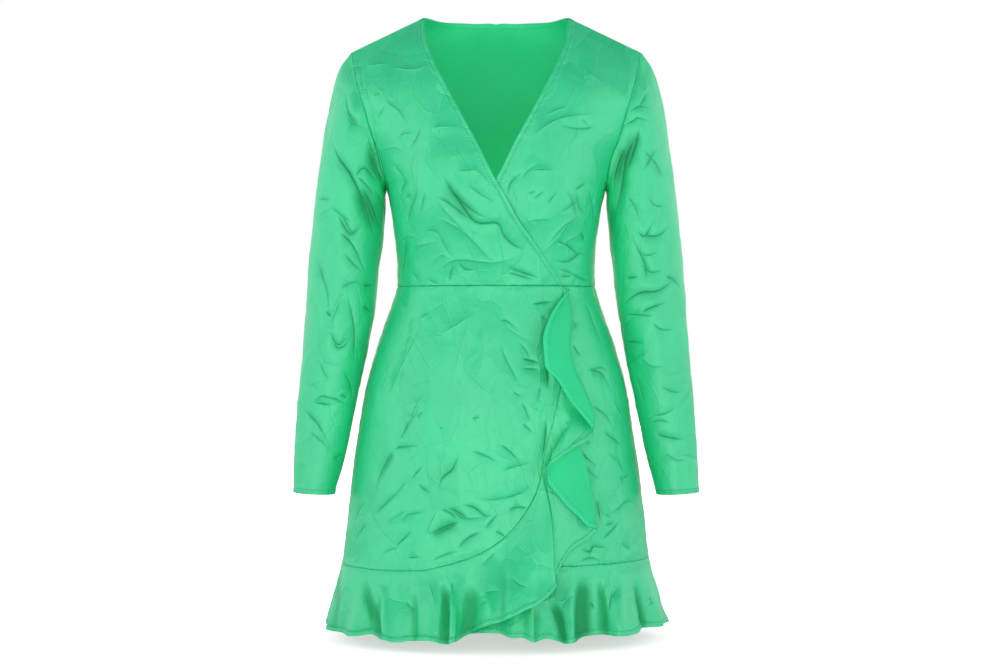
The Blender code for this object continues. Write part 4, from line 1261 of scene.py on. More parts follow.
def make_sleeve(name):
    cloth = bpy.context.scene.dress_cloth
    right = name == "sleeve_right"
    points = spread(sleeve_form(), "seam", "hem", GRID_STEP["sleeve"])
    points = spread_across(np.concatenate([points, points[:, :1]], axis=1), "plain", "plain", GRID_STEP["sleeve"])
    points = points[:, :-1] * ((1, 1, 1) if right else (-1, 1, 1))
    relief = SLEEVE_CRUMPLE * crumple_relief(points, 31 if right else 37) * cloth.crumple
    for rows, shift, flip, weight in crease_sets(name, points):
        relief = relief + crease_relief(points, rows, shift, flip) * weight
    edges = {"first_row": "seam", "last_row": "hem"}
    points, sewing = with_relief(points, edges, cloth.crease_strength * relief, ring=True)
    lines = [line_inside(points, STITCH_INSET), line_inside(points, CUFF_SECOND_INSET)]
    allowance = points[:1] + (points[:1].mean(axis=1, keepdims=True) - points[:1]) * SEAM_ALLOWANCE_DRAWN_IN
    allowance[..., 0] -= np.sign(points[0, 0, 0]) * SEAM_ALLOWANCE
    points, sewing = np.concatenate([allowance, points]), np.concatenate([sewing[:1], sewing])
    return points, sewing, [np.concatenate([line, line[:1]]) for line in lines]


class DRESS_OT_sleeves(bpy.types.Operator):
    """Make the two long sleeves with their stitched cuffs"""

    bl_idname = "dress.sleeves"
    bl_label = "Sleeves"

    def execute(self, context):
        for name in ("sleeve_right", "sleeve_left"):
            points, sewing, lines = make_sleeve(name)
            carry(shell(name, points, sewing, ring=True), name, [stitch_rows(name, lines)])
        return {"FINISHED"}


# ----------------------------------------------------------------------------------------------- skirt


def skirt_over_form():
    """The right front skirt, as a patch between its waist, side seam, wrapped edge and hem."""
    across, down = np.linspace(0, 1, FORM_COLUMNS["skirt_front"]), np.linspace(0, 1, FINE_LINES)[:, None]
    corner, end = along_at(CORNER_TURN), skirt_edge_lengths()[-1]
    wrap, hem = np.array(skirt_edge(down * corner)), np.array(skirt_edge(end + (corner - end) * across))
    start = SKIRT_EDGE["turn"][0]
    waist = np.stack([-90 + (start + 90) * across, WAIST_Z + 0 * across])
    side = np.stack([-90 + 0 * down, WAIST_Z + (HEM_Z_RIGHT - WAIST_Z) * down])
    corners = [waist[:, :1], waist[:, -1:], hem[:, :1], hem[:, -1:]]
    top_left, top_right, low_left, low_right = [corner_point[:, None] for corner_point in corners]
    waist, hem = waist[:, None], hem[:, None]
    turn, z = (
        (1 - across) * side + across * wrap + (1 - down) * waist + down * hem
        - (1 - across) * ((1 - down) * top_left + down * low_left)
        - across * ((1 - down) * top_right + down * low_right)
    )
    return lifted(turn, z, 0 * turn, over=True)


def skirt_under_form():
    down = np.linspace(0, 1, FINE_LINES)[:, None]
    level = WAIST_Z + (HEM_Z_RIGHT - WAIST_Z) * down
    (half_width,) = read(SKIRT_FORM, "z", level, "half_width")
    hidden = np.degrees(np.arcsin(UNDER_EDGE_X / half_width))
    turn = hidden + (90 - hidden) * np.linspace(0, 1, FORM_COLUMNS["skirt_front"])
    z = WAIST_Z + (hem_z(turn) - WAIST_Z) * down
    return lifted(turn, z, 0 * turn)


def skirt_back_form():
    turn = np.linspace(90, 270, FORM_COLUMNS["skirt_back"])[None]
    z = WAIST_Z + (hem_z(turn) - WAIST_Z) * np.linspace(0, 1, FINE_LINES)[:, None]
    return lifted(turn + 0 * z, z, 0 * z)


def wrap_edge_x(points):
    """Where the over skirt's edge lies, at the height of each point."""
    rows = np.argsort(SKIRT_EDGE["z"])
    (half_width,) = read(SKIRT_FORM, "z", points[..., 2], "half_width")
    turn = np.interp(points[..., 2], SKIRT_EDGE["z"][rows], SKIRT_EDGE["turn"][rows])
    return half_width * np.sin(np.radians(turn))


def make_skirt(name):
    forms = {"skirt_front_right": skirt_over_form, "skirt_front_left": skirt_under_form,
             "skirt_back": skirt_back_form}
    step = GRID_STEP["back" if name == "skirt_back" else "front"]
    under = name == "skirt_front_left"
    points = spread(forms[name](), "seam", "seam", step)
    first = "plain" if under else "seam"
    points = spread_across(points, first, "seam", step, hidden=UNDER_HIDDEN_SHARE if under else 0)
    relief = under_relief(points, name, "skirt_front_right") if under else layer_relief(points, name)
    edges = {"first_row": "seam", "last_row": "seam", "first_column": first, "last_column": "seam"}
    return with_relief(points, edges, relief)


class DRESS_OT_skirt(bpy.types.Operator):
    """Make the wrapped skirt's two fronts and its back"""

    bl_idname = "dress.skirt"
    bl_label = "Skirt"

    def execute(self, context):
        for name in ("skirt_front_right", "skirt_front_left", "skirt_back"):
            carry(shell(name, *make_skirt(name)), name)
        return {"FINISHED"}


# -------------------------------------------------------------------------------------------- flounces


def flounce_over_form():
    waves = OVER_WAVES
    along = np.concatenate([CASCADE["along"], along_at(waves["turn"])])
    seam_z = skirt_edge(along_at(waves["turn"]))[1]
    of_waves = (waves["turn"], *hem_bend(seam_z, waves["turn"], waves["z"], waves["lift"]))
    columns = [along]
    for name, of_hem in zip(("near_turn", "bend_turn", "bend_z", "bend_lift"), of_waves):
        columns.append(np.concatenate([CASCADE[name], of_hem]))
    for name in ("turn", "z", "lift"):
        columns.append(np.concatenate([CASCADE["edge_" + name], waves[name]]))
    rows = np.arange(len(along))
    lines = np.linspace(0, rows[-1], WAVE_LINES * len(rows))
    along, near_turn, *rest = [smooth(rows, column, lines) for column in columns]
    seam = (*skirt_edge(along), 0)
    return flounce_grid(seam, near_turn, rest[:3], rest[3:], FLOUNCE_ROWS["over"], over=True)


def flounce_level_form(waves):
    rows = np.arange(len(waves["turn"]))
    lines = np.linspace(0, rows[-1], WAVE_LINES * len(rows))
    turn, z, lift = [smooth(rows, waves[column], lines) for column in ("turn", "z", "lift")]
    seam_z = hem_z(turn)
    bend = hem_bend(seam_z, turn, z, lift)
    return flounce_grid((turn, seam_z, 0), turn, bend, (turn, z, lift), FLOUNCE_ROWS["level"])


def even_columns(points, step):
    """Columns spaced by how far apart they are on average, so that close folds keep their lines."""
    gaps = np.linalg.norm(np.diff(points, axis=1), axis=-1)
    gaps = np.maximum(gaps.mean(axis=0), 0.7 * gaps[-1])
    runs = np.concatenate([[0], np.cumsum(gaps)])
    at = np.interp(np.linspace(0, runs[-1], round(runs[-1] / step) + 1), runs, np.arange(len(runs)))
    low = np.minimum(at.astype(int), points.shape[1] - 2)
    share = (at - low)[None, :, None]
    return points[:, low] * (1 - share) + points[:, low + 1] * share


def make_flounce(name):
    cloth = bpy.context.scene.dress_cloth
    if name == "flounce_front_right":
        points, first = flounce_over_form(), "plain"
    elif name == "flounce_front_left":
        points, first = flounce_level_form(UNDER_WAVES), "plain"
    else:
        points, first = flounce_level_form(BACK_WAVES), "seam"
    step = GRID_STEP["back" if name == "flounce_back" else "front"]
    points = spread(even_columns(points, step), "seam", "hem", step)
    relief = crease_relief(points, CREASES.get(name, [])) + crumple_relief(points, 70 + len(name)) * cloth.crumple
    edges = {"first_row": "seam", "last_row": "hem", "first_column": first, "last_column": "seam"}
    relief = cloth.crease_strength * relief + fold_relief(points, name)
    points, sewing = with_relief(points, edges, relief)
    return points, sewing, line_inside(points, STITCH_INSET)


class DRESS_OT_flounces(bpy.types.Operator):
    """Make the flounces round the hem, and the cascade down the wrapped edge"""

    bl_idname = "dress.flounces"
    bl_label = "Flounces"

    def execute(self, context):
        for name in ("flounce_front_right", "flounce_front_left", "flounce_back"):
            points, sewing, line = make_flounce(name)
            carry(shell(name, points, sewing), name, [stitch_rows(name, [line])])
        return {"FINISHED"}


# -------------------------------------------------------------------------------------------- stitching


def stitch_tree():
    """Geometry nodes that lay one thread stitch after another along a curve."""
    tree = bpy.data.node_groups.get("stitch_row")
    if tree:
        return tree
    tree = bpy.data.node_groups.new("stitch_row", "GeometryNodeTree")
    tree.interface.new_socket("Geometry", in_out="INPUT", socket_type="NodeSocketGeometry")
    for name in ("Spacing", "Length", "Radius"):
        tree.interface.new_socket(name, in_out="INPUT", socket_type="NodeSocketFloat")
    tree.interface.new_socket("Thread", in_out="INPUT", socket_type="NodeSocketMaterial")
    tree.interface.new_socket("Geometry", in_out="OUTPUT", socket_type="NodeSocketGeometry")
    given = tree.nodes.new("NodeGroupInput").outputs
    places = new_node(tree, "GeometryNodeCurveToPoints", {
        "Curve": given["Geometry"], "Length": given["Spacing"]}, mode="LENGTH")
    turned = new_node(tree, "FunctionNodeAlignRotationToVector", {"Vector": places.outputs["Tangent"]}, axis="Z")
    size = new_node(tree, "ShaderNodeCombineXYZ", {
        "X": given["Radius"], "Y": given["Radius"], "Z": calc(tree, "MULTIPLY", given["Length"], 0.5)})
    grain = new_node(tree, "GeometryNodeMeshUVSphere", {"Segments": 6, "Rings": 4})
    laid = new_node(tree, "GeometryNodeInstanceOnPoints", {
        "Points": places.outputs["Points"], "Instance": grain.outputs["Mesh"],
        "Rotation": turned.outputs["Rotation"], "Scale": size.outputs["Vector"]})
    real = new_node(tree, "GeometryNodeRealizeInstances", {"Geometry": laid.outputs["Instances"]})
    painted = new_node(tree, "GeometryNodeSetMaterial", {
        "Geometry": real.outputs["Geometry"], "Material": given["Thread"]})
    new_node(tree, "NodeGroupOutput", {"Geometry": painted.outputs["Geometry"]})
    return tree


def stitch_rows(name, lines):
    """Rows of stitches along lines on a piece of cloth."""
    sewing = bpy.context.scene.dress_sewing
    curve = bpy.data.curves.new(name + "_stitch_lines", "CURVE")
    curve.dimensions = "3D"
    for line in lines:
        spline = curve.splines.new("POLY")
        spline.points.add(len(line) - 1)
        spline.points.foreach_set("co", np.concatenate([line, np.ones((len(line), 1))], axis=1).reshape(-1))
    rows = placed(name + "_stitch_lines", curve)
    laying = rows.modifiers.new("stitches", "NODES")
    laying.node_group = stitch_tree()
    values = {"Spacing": sewing.stitch_spacing, "Length": sewing.stitch_length, "Radius": sewing.thread_radius,
              "Thread": thread_material()}
    for socket in laying.node_group.interface.items_tree:
        if socket.in_out == "INPUT" and socket.name in values:
            laying[socket.identifier] = values[socket.name]
    evaluated = rows.evaluated_get(bpy.context.evaluated_depsgraph_get())
    mesh = bpy.data.meshes.new_from_object(evaluated)
    mesh.shade_smooth()
    bpy.data.objects.remove(rows)
    return placed(name + "_stitches", mesh)


# -------------------------------------------------------------------------------------------- materials


def new_node(tree, kind, inputs, **settings):
    """Adds a node. Its inputs are values, or sockets to link, by name or number."""
    node = tree.nodes.new(kind)
    for name, value in settings.items():
        setattr(node, name, value)
    for key, value in inputs.items():
        if isinstance(value, bpy.types.NodeSocket):
            tree.links.new(value, node.inputs[key])
        else:
            node.inputs[key].default_value = value
    return node


def calc(tree, operation, *values):
    """The result of a math node on values or sockets."""
    return new_node(tree, "ShaderNodeMath", dict(enumerate(values)), operation=operation).outputs[0]


def mixed_colour(tree, share, first, second):
    """A colour between two, which are each three values or a socket, and the share of the second."""
    first, second = [each if isinstance(each, bpy.types.NodeSocket) else (*each, 1) for each in (first, second)]
    mixed = new_node(tree, "ShaderNodeMix", {"Factor": share, "A": first, "B": second}, data_type="RGBA")
    return mixed.outputs["Result"]


def times(colour, *shares):
    """A colour with each of its parts, or all of them, multiplied and kept to at most 1."""
    return [min(1, share * value) for share, value in zip(shares * (3 // len(shares)), colour)]


def line_height(tree, away, width, height):
    """A sharp line of a height, falling off with the distance from it."""
    return calc(tree, "MULTIPLY", height, calc(tree, "EXPONENT", calc(tree, "DIVIDE", away, -width)))


# Fine creases, in millimetres
CRUSH_NETS = [  # facets per metre, lean in radians, height of the lines between them
    (24.0, 0.75, -0.40),
    (36.0, -0.55, 0.36),
    (58.0, 1.35, -0.20),
]
NET_PLACE = (0.31, 0.2)  # moves the nets off the middle of the dress
NET_SQUASH = 0.42  # of the facets' length, so that they are long ones
NET_SHOWN = (0.42, 0.58)  # patches between which the lines grow from nothing
NET_LINE_WIDTH = 0.55
CREASE_LINE = {"width": 0.8, "height": 0.36}  # of each main crease's sharp line, as a share of its depth
# Painted shade along each main crease's trough and along the stitches: how wide it is and how strong
CREASE_SHADE = {"width": 0.75, "strength": -0.15}
STITCH_SHADE = {"width": 0.5, "strength": 0.20}
TURNED_IN_PAST = -0.3  # beside its stitches, where a hem shows its wrong side
BEND = {"cells": 11.0, "reach": 0.035}  # slow bending of the fine creases, in metres
GATHERS = {"along": 1.7, "beside": 0.6, "uneven": 9.0, "cells": 70.0, "width": 3.0, "height": 0.20}
WEAVE = {"streaks": 900.0, "stretch": 0.06, "bump": 0.0003, "strength": 0.12}
SHADE_CELLS = 14.0  # slow changes of shade, per metre


def crush_net(tree, place, cells, lean, height):
    """Fine fold lines between long facets that lean to one side, here and there, and each facet's random colour.
    The height is in millimetres and cells counts them per metre."""
    apart = new_node(tree, "ShaderNodeMapping", {
        "Vector": place, "Location": (lean + NET_PLACE[0], NET_PLACE[1], 0), "Rotation": (0, lean, 0),
        "Scale": (1, 1, NET_SQUASH)}).outputs[0]
    edges = new_node(tree, "ShaderNodeTexVoronoi", {"Vector": apart, "Scale": cells}, feature="DISTANCE_TO_EDGE")
    facets = new_node(tree, "ShaderNodeTexVoronoi", {"Vector": apart, "Scale": cells})
    patches = new_node(tree, "ShaderNodeTexNoise", {"Vector": apart, "Scale": 0.8 * cells, "Detail": 1.0})
    hidden_below, whole_above = NET_SHOWN
    shown = new_node(tree, "ShaderNodeMapRange", {
        "Value": patches.outputs["Fac"], "From Min": hidden_below, "From Max": whole_above, "To Min": 0.0,
        "To Max": height})
    away = calc(tree, "MULTIPLY", edges.outputs["Distance"], 1000 / cells)
    return line_height(tree, away, NET_LINE_WIDTH, shown.outputs["Result"]), facets.outputs["Color"]


def crushed_group():
    """Shader nodes for crushed satin: sharp crease lines, fine folds between slightly tilted facets, thread
    streaks, a slow change of tone from place to place, and painted shade along crease troughs and stitches. Heights
    are in millimetres."""
    group = bpy.data.node_groups.get("crushed_satin")
    if group:
        return group
    group = bpy.data.node_groups.new("crushed_satin", "ShaderNodeTree")
    for name in ("Weave", "Place", "Creases", "Sewing"):
        group.interface.new_socket(name, in_out="INPUT", socket_type="NodeSocketVector")
    group.interface.new_socket("Crush", in_out="INPUT", socket_type="NodeSocketFloat")
    for name in ("Shade", "Painted Shade", "Turned In", "Crease Height", "Thread Height"):
        group.interface.new_socket(name, in_out="OUTPUT", socket_type="NodeSocketFloat")
    group.interface.new_socket("Tilt", in_out="OUTPUT", socket_type="NodeSocketVector")
    given = group.nodes.new("NodeGroupInput").outputs

    crease = new_node(group, "ShaderNodeSeparateXYZ", {0: given["Creases"]}).outputs
    sewn = new_node(group, "ShaderNodeSeparateXYZ", {0: given["Sewing"]}).outputs
    away = calc(group, "ABSOLUTE", crease["X"])
    line = line_height(group, away, CREASE_LINE["width"], calc(group, "MULTIPLY", crease["Y"], CREASE_LINE["height"]))
    # Painted shade, darker colour along each crease's trough and along the stitches
    strength = calc(group, "MULTIPLY", crease["Y"], CREASE_SHADE["strength"])
    pressed = line_height(group, away, CREASE_SHADE["width"], strength)
    stitched = line_height(
        group, calc(group, "ABSOLUTE", sewn["Y"]), STITCH_SHADE["width"], STITCH_SHADE["strength"])

    bend = new_node(group, "ShaderNodeTexNoise", {"Vector": given["Place"], "Scale": BEND["cells"], "Detail": 2.0})
    bend = new_node(group, "ShaderNodeVectorMath", {
        0: bend.outputs["Color"], 1: [BEND["reach"]] * 3, 2: given["Place"]}, operation="MULTIPLY_ADD")
    nets = [crush_net(group, bend.outputs[0], *net) for net in CRUSH_NETS]
    crush = calc(group, "ADD", nets[0][0], calc(group, "ADD", nets[1][0], nets[2][0]))
    both = mixed_colour(group, 0.4, nets[0][1], nets[1][1])
    tilt = new_node(group, "ShaderNodeVectorMath", {0: both, 1: (0.5, 0.5, 0.5)}, operation="SUBTRACT")

    uneven = new_node(group, "ShaderNodeTexNoise", {
        "Vector": given["Place"], "Scale": GATHERS["cells"], "Detail": 0.0}).outputs["Fac"]
    phase = calc(group, "MULTIPLY", uneven, GATHERS["uneven"])
    phase = calc(group, "MULTIPLY_ADD", sewn["X"], GATHERS["along"], phase)
    phase = calc(group, "MULTIPLY_ADD", sewn["Y"], GATHERS["beside"], phase)
    beside = calc(group, "DIVIDE", calc(group, "POWER", sewn["Y"], 2.0), -GATHERS["width"] ** 2)
    gathers = calc(group, "MULTIPLY", calc(group, "EXPONENT", beside), calc(group, "SINE", phase))
    line = calc(group, "MULTIPLY_ADD", gathers, GATHERS["height"], line)

    stretch = new_node(group, "ShaderNodeMapping", {"Vector": given["Weave"], "Scale": (1.0, WEAVE["stretch"], 1.0)})
    streaks = new_node(group, "ShaderNodeTexNoise", {
        "Vector": stretch.outputs["Vector"], "Scale": WEAVE["streaks"], "Detail": 2.0})
    slow = new_node(group, "ShaderNodeTexNoise", {"Vector": given["Place"], "Scale": SHADE_CELLS, "Detail": 2.0})
    new_node(group, "NodeGroupOutput", {
        "Shade": slow.outputs["Fac"], "Painted Shade": calc(group, "MAXIMUM", pressed, stitched),
        "Turned In": calc(group, "LESS_THAN", sewn["Y"], TURNED_IN_PAST),
        "Crease Height": calc(group, "MULTIPLY_ADD", crush, given["Crush"], line),
        "Thread Height": streaks.outputs["Fac"], "Tilt": tilt.outputs[0]})
    return group


def new_material(name):
    """A new material, its node tree and its shader."""
    material = bpy.data.materials.new(name)
    material.use_nodes = True
    return material, material.node_tree, material.node_tree.nodes["Principled BSDF"]


SHADE_RANGE = (0.90, 1.08)  # of the cloth's colour, from place to place
HOLLOW_SHADE_COLOUR = (0.0, 0.56, 0.44)  # painted shade, of the cloth's colour, deep in a hollow
CREASE_AND_STITCH_SHADE_COLOUR = (0.1, 0.5, 0.4)  # painted shade, of the cloth's colour, along a crease or stitches
SHEEN_RANGE = 0.05  # how much the roughness changes from thread to thread
DULLER = 0.4  # rougher by this in a crease or a hollow


def cloth_material(name, colour, hem_colour, roughness, metallic, specular, facets, crush):
    """Crushed satin, with painted shade deep in its hollows and along its crease troughs and stitches. Its hems are
    turned in, so they show another colour on the wrong side.
    """
    if name in bpy.data.materials:
        return bpy.data.materials[name]
    material, tree, shader = new_material(name)
    shader.inputs["Metallic"].default_value = metallic
    shader.inputs["Specular IOR Level"].default_value = specular
    weave, creases, sewing, hollows = [
        new_node(tree, "ShaderNodeUVMap", {}, uv_map=layer).outputs["UV"]
        for layer in ("cloth", "creases", "sewing", "hollows")]
    place, normal = tree.nodes.new("ShaderNodeTexCoord"), tree.nodes.new("ShaderNodeNewGeometry")
    satin = new_node(tree, "ShaderNodeGroup", {}, node_tree=crushed_group())
    satin.inputs["Crush"].default_value = crush
    sources = {"Weave": weave, "Creases": creases, "Sewing": sewing, "Place": place.outputs["Object"]}
    for socket, source in sources.items():
        tree.links.new(source, satin.inputs[socket])
    satin = satin.outputs
    hollow_shade = new_node(tree, "ShaderNodeSeparateXYZ", {0: hollows}).outputs["X"]

    darker, lighter = SHADE_RANGE
    tint = mixed_colour(tree, satin["Shade"], times(colour, darker), times(colour, lighter))
    tint = mixed_colour(tree, satin["Turned In"], tint, hem_colour)
    # Painted shade: the colour is darker deep in the relief's hollows
    tint = mixed_colour(tree, hollow_shade, tint, times(colour, *HOLLOW_SHADE_COLOUR))
    # Painted shade: the colour is darker along crease troughs and stitches
    tint = mixed_colour(tree, satin["Painted Shade"], tint, times(colour, *CREASE_AND_STITCH_SHADE_COLOUR))

    gloss = new_node(tree, "ShaderNodeMapRange", {
        "Value": satin["Thread Height"], "To Min": roughness - SHEEN_RANGE, "To Max": roughness + SHEEN_RANGE})
    dull = calc(tree, "MAXIMUM", satin["Painted Shade"], hollow_shade)
    rough = calc(tree, "MULTIPLY_ADD", dull, DULLER, gloss.outputs["Result"])

    tilted = new_node(tree, "ShaderNodeVectorMath", {
        0: satin["Tilt"], 1: (facets, facets, facets), 2: normal.outputs["Normal"]}, operation="MULTIPLY_ADD")
    tilted = new_node(tree, "ShaderNodeVectorMath", {0: tilted.outputs[0]}, operation="NORMALIZE")
    creased = new_node(tree, "ShaderNodeBump", {
        "Height": satin["Crease Height"], "Distance": 0.001, "Strength": 1.0, "Normal": tilted.outputs[0]})
    woven = new_node(tree, "ShaderNodeBump", {
        "Height": satin["Thread Height"], "Distance": WEAVE["bump"], "Strength": WEAVE["strength"],
        "Normal": creased.outputs["Normal"]})
    for socket, source in {"Base Color": tint, "Roughness": rough, "Normal": woven.outputs["Normal"]}.items():
        tree.links.new(source, shader.inputs[socket])
    return material


def satin_material():
    cloth = bpy.context.scene.dress_cloth
    return cloth_material("satin_right_side", cloth.colour, cloth.colour, roughness=cloth.roughness, metallic=0.10,
                          specular=1.0, facets=0.26, crush=1.0)


def wrong_side_material():
    cloth = bpy.context.scene.dress_cloth
    return cloth_material("satin_wrong_side", cloth.wrong_side_colour, times(cloth.colour, 1.06), roughness=0.6,
                          metallic=0.0, specular=0.5, facets=0.06, crush=0.3)


def thread_material():
    if "green_thread" in bpy.data.materials:
        return bpy.data.materials["green_thread"]
    material, tree, shader = new_material("green_thread")
    shader.inputs["Roughness"].default_value = 0.55
    colour = bpy.context.scene.dress_sewing.thread_colour
    place = tree.nodes.new("ShaderNodeTexCoord").outputs["Object"]
    twist = new_node(tree, "ShaderNodeTexNoise", {"Vector": place, "Scale": 900.0}).outputs["Fac"]
    relief = new_node(tree, "ShaderNodeBump", {"Height": twist, "Strength": 0.4, "Distance": 0.0002})
    tree.links.new(mixed_colour(tree, twist, times(colour, 0.8), colour), shader.inputs["Base Color"])
    tree.links.new(relief.outputs["Normal"], shader.inputs["Normal"])
    return material


# ----------------------------------------------------------------------------------------------- studio


LIGHTS = {
    # name: place, what it points at, width and height, the setting with its power, and a share of that
    "key": ((-0.3, -3.4, -0.5), (0, 0, -0.5), (2.6, 1.6), "key_power", 1),
    "side_right": ((-2.4, -1.6, -0.2), (0, 0, -0.35), (0.9, 1.8), "side_power", 1),
    "low": ((0, -1.1, -0.8), (0, 0, -0.66), (1.2, 0.35), "low_power", 1),
    "inside": ((0, -0.04, -0.33), (0, 0.08, -0.16), (0.22, 0.08), "inside_power", 1),
    "side_left": ((2.4, -1.6, -0.2), (0, 0, -0.35), (0.9, 1.8), "side_power", 0.8),
}
CAMERA_PLACE = (0.0111, -3.0, -0.4427)
SURROUND = {"level": 0.12, "steep": 0.68, "steep_share": 0.12, "sideways": -0.38}  # how it weakens up and down
SURROUND_DIP = {"x": 0.62, "width": 0.2, "depth": -0.12}  # obliquely, to each side
SURROUND_BEHIND = 1.35  # of the light from the front
FLOOR_CORNERS = ((-6, -2.5), (6, -2.5), (6, 9), (-6, 9))
FLOOR_SHADOW = {"across": 3.2, "deep": 3.6, "inner": 0.55, "outer": 1.05, "painted_shadow_glow": 0.56}  # a painted shadow: the floor's glow is dimmer in an oval under the dress, darkest inside it


def area_light(name, place, target, size, power):
    data = bpy.data.lights.new(name, "AREA")
    data.shape = "RECTANGLE"
    data.size, data.size_y = size
    data.energy = power
    light = placed(name, data)
    light.location = place
    light.rotation_euler = (Vector(target) - Vector(place)).to_track_quat("-Z", "Y").to_euler()


def white_world(fill):
    """A white surround that lights the dress softly and shows as white. It is weaker from above and below, but
    less so to the sides, and a little weaker obliquely from the front."""
    world = bpy.data.worlds.new("white_surround")
    bpy.context.scene.world = world
    world.use_nodes = True
    tree = world.node_tree
    direction = tree.nodes.new("ShaderNodeTexCoord").outputs["Generated"]
    parts = new_node(tree, "ShaderNodeSeparateXYZ", {0: direction}).outputs
    sideways = calc(tree, "ABSOLUTE", parts["X"])
    upright = calc(tree, "MULTIPLY_ADD", sideways, SURROUND["sideways"], calc(tree, "ABSOLUTE", parts["Z"]))
    from_dip = calc(tree, "DIVIDE", calc(tree, "SUBTRACT", sideways, SURROUND_DIP["x"]), SURROUND_DIP["width"])
    dip = calc(tree, "EXPONENT", calc(tree, "MULTIPLY", calc(tree, "POWER", from_dip, 2.0), -1.0))
    strength = new_node(tree, "ShaderNodeMapRange", {
        "Value": upright, "From Min": SURROUND["level"], "From Max": SURROUND["steep"],
        "To Min": fill, "To Max": SURROUND["steep_share"] * fill}).outputs["Result"]
    strength = calc(tree, "MULTIPLY", strength, calc(tree, "MULTIPLY_ADD", dip, SURROUND_DIP["depth"], 1.0))
    behind = new_node(tree, "ShaderNodeMapRange", {
        "Value": parts["Y"], "From Min": 1.0, "From Max": -1.0, "To Min": SURROUND_BEHIND, "To Max": 1.0})
    lit = new_node(tree, "ShaderNodeBackground", {
        "Color": (1, 1, 1, 1), "Strength": calc(tree, "MULTIPLY", strength, behind.outputs["Result"])})
    shown = new_node(tree, "ShaderNodeBackground", {"Color": (1, 1, 1, 1)})
    path = tree.nodes.new("ShaderNodeLightPath")
    mixed = new_node(tree, "ShaderNodeMixShader", {
        "Fac": path.outputs["Is Camera Ray"], 1: lit.outputs["Background"], 2: shown.outputs["Background"]})
    tree.links.new(mixed.outputs["Shader"], tree.nodes["World Output"].inputs["Surface"])
    tree.nodes.remove(tree.nodes["Background"])


def pale_floor(height):
    """A floor that shows as white, and darker in a soft oval under the dress: there its glow to the camera is dimmed,
    a painted shadow, on top of the real shadow the dress casts.
    """
    mesh = bpy.data.meshes.new("floor")
    mesh.from_pydata([(x, y, height) for x, y in FLOOR_CORNERS], [], [(0, 1, 2, 3)])
    material, tree, shader = new_material("pale_floor")
    for name, value in {"Base Color": (0.86, 0.86, 0.86, 1), "Roughness": 0.9, "Specular IOR Level": 0.0,
                        "Emission Strength": 1.0}.items():
        shader.inputs[name].default_value = value
    place, path = tree.nodes.new("ShaderNodeTexCoord"), tree.nodes.new("ShaderNodeLightPath")
    # Painted shadow: the glow that the camera sees is dimmer in an oval under the dress
    oval = new_node(tree, "ShaderNodeVectorMath", {
        0: place.outputs["Object"], 1: (FLOOR_SHADOW["across"], FLOOR_SHADOW["deep"], 0.0)}, operation="MULTIPLY")
    near = new_node(tree, "ShaderNodeVectorMath", {0: oval.outputs[0]}, operation="LENGTH")
    painted_shadow_glow = new_node(tree, "ShaderNodeMapRange", {
        "Value": near.outputs["Value"], "From Min": FLOOR_SHADOW["inner"], "From Max": FLOOR_SHADOW["outer"],
        "To Min": FLOOR_SHADOW["painted_shadow_glow"], "To Max": 1.0}, interpolation_type="SMOOTHSTEP")
    seen = calc(tree, "MULTIPLY", painted_shadow_glow.outputs["Result"], path.outputs["Is Camera Ray"])
    tree.links.new(seen, shader.inputs["Emission Color"])
    mesh.materials.append(material)
    placed("floor", mesh)


class DRESS_OT_studio(bpy.types.Operator):
    """Set up the floor, the soft lights and the camera"""

    bl_idname = "dress.studio"
    bl_label = "Studio"

    def execute(self, context):
        studio = context.scene.dress_studio
        pale_floor(CAD_BOX[0][2] - studio.floor_gap)
        white_world(studio.surround)
        for name, (place, target, size, power, share) in LIGHTS.items():
            area_light(name, place, target, size, share * getattr(studio, power))
        camera_data = bpy.data.cameras.new("camera")
        camera_data.lens = studio.lens
        camera = placed("camera", camera_data)
        camera.location = CAMERA_PLACE
        camera.rotation_euler = (np.pi / 2, 0, 0)
        context.scene.camera = camera
        context.scene.view_settings.view_transform = "Standard"
        return {"FINISHED"}


# --------------------------------------------------------------------------------------------- settings


class ClothSettings(bpy.types.PropertyGroup):
    colour: FloatVectorProperty(
        name="Satin colour", description="Colour of the cloth's right side", subtype="COLOR",
        size=3, min=0, max=1, default=(0.024, 0.76, 0.335))
    wrong_side_colour: FloatVectorProperty(
        name="Wrong side colour", description="Duller colour of the cloth's wrong side", subtype="COLOR",
        size=3, min=0, max=1, default=(0.014, 0.76, 0.310))
    roughness: FloatProperty(
        name="Roughness", description="How soft the satin's highlights are", min=0.1, max=1, default=0.46)
    thickness: FloatProperty(
        name="Thickness", description="Thickness of the cloth", unit="LENGTH", min=0.0003, max=0.003,
        default=0.0009, precision=4)
    crumple: FloatProperty(
        name="Crumple", description="Height of the crushed surface between the main creases", unit="LENGTH",
        min=0, max=0.004, default=0.0009, precision=4)
    crease_strength: FloatProperty(
        name="Crease strength", description="How strongly all creases show", min=0, max=2, default=1.0)


class SewingSettings(bpy.types.PropertyGroup):
    stitch_spacing: FloatProperty(
        name="Stitch spacing", description="From one stitch to the next", unit="LENGTH", min=0.001, max=0.01,
        default=0.0030, precision=4)
    stitch_length: FloatProperty(
        name="Stitch length", description="Length of one stitch", unit="LENGTH", min=0.0005, max=0.01,
        default=0.0024, precision=4)
    thread_radius: FloatProperty(
        name="Thread radius", description="Half the thickness of the thread", unit="LENGTH", min=0.0001,
        max=0.001, default=0.00028, precision=5)
    thread_colour: FloatVectorProperty(
        name="Thread colour", description="Colour of the sewing thread", subtype="COLOR", size=3, min=0, max=1,
        default=(0.04, 0.42, 0.20))


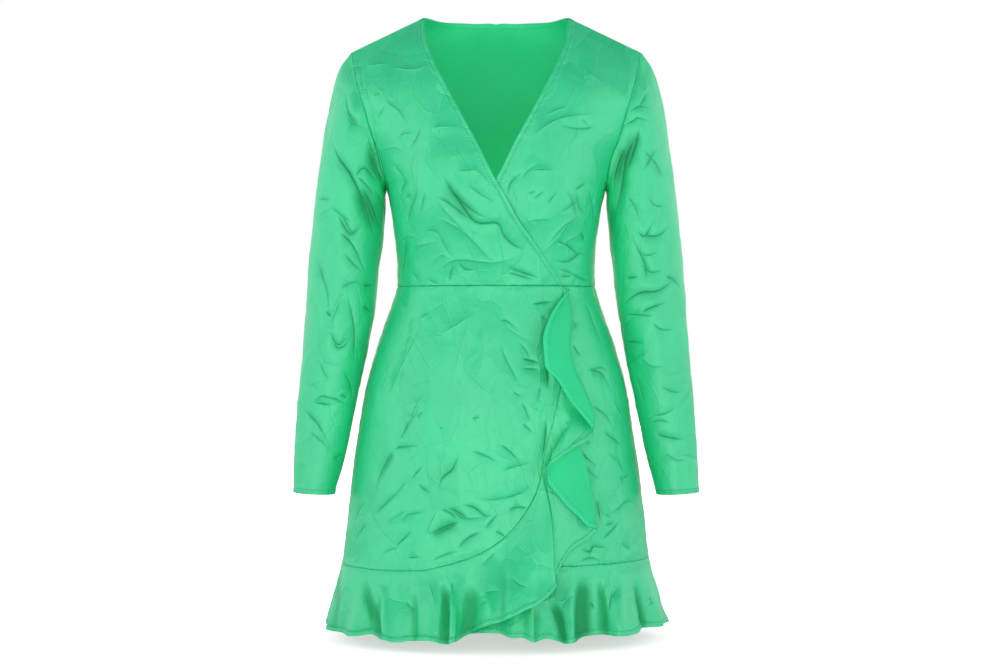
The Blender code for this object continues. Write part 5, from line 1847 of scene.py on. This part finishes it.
class StudioSettings(bpy.types.PropertyGroup):
    floor_gap: FloatProperty(
        name="Floor gap", description="Height of the hem above the floor", unit="LENGTH", min=0, max=1,
        default=0.012)
    surround: FloatProperty(name="Surround", description="Strength of the even white light", min=0, default=1.06)
    key_power: FloatProperty(
        name="Key light", description="Power of the front light", unit="POWER", min=0, default=10)
    side_power: FloatProperty(
        name="Side lights", description="Power of the lights at the sides", unit="POWER", min=0, default=4)
    low_power: FloatProperty(
        name="Low light", description="Power of the light on the hem", unit="POWER", min=0, default=2.2)
    inside_power: FloatProperty(
        name="Inside light", description="Power of the light inside the bodice", unit="POWER", min=0, default=0.15)
    lens: FloatProperty(name="Lens", description="Focal length in millimetres", min=20, max=200, default=77.08)


class DRESS_PT_panel(bpy.types.Panel):
    """Sizes, colours and steps of the dress"""

    bl_label = "Satin wrap dress"
    bl_idname = "DRESS_PT_panel"
    bl_space_type = "VIEW_3D"
    bl_region_type = "UI"
    bl_category = "Dress"

    def draw(self, context):
        layout = self.layout
        for settings in (context.scene.dress_cloth, context.scene.dress_sewing, context.scene.dress_studio):
            box = layout.box()
            for name in settings.__annotations__:
                box.prop(settings, name)
        for operator in OPERATORS:
            layout.operator(operator.bl_idname)


OPERATORS = (DRESS_OT_bodice, DRESS_OT_sleeves, DRESS_OT_skirt, DRESS_OT_flounces, DRESS_OT_studio)
CLASSES = (ClothSettings, SewingSettings, StudioSettings, *OPERATORS, DRESS_PT_panel)


def register():
    for each in CLASSES:
        bpy.utils.register_class(each)
    bpy.types.Scene.dress_cloth = PointerProperty(type=ClothSettings)
    bpy.types.Scene.dress_sewing = PointerProperty(type=SewingSettings)
    bpy.types.Scene.dress_studio = PointerProperty(type=StudioSettings)


def unregister():
    for name in ("dress_cloth", "dress_sewing", "dress_studio"):
        delattr(bpy.types.Scene, name)
    for each in reversed(CLASSES):
        bpy.utils.unregister_class(each)


def main():
    register()
    bpy.ops.dress.bodice()
    bpy.ops.dress.sleeves()
    bpy.ops.dress.skirt()
    bpy.ops.dress.flounces()
    bpy.ops.dress.studio()


if __name__ == "__main__":
    main()
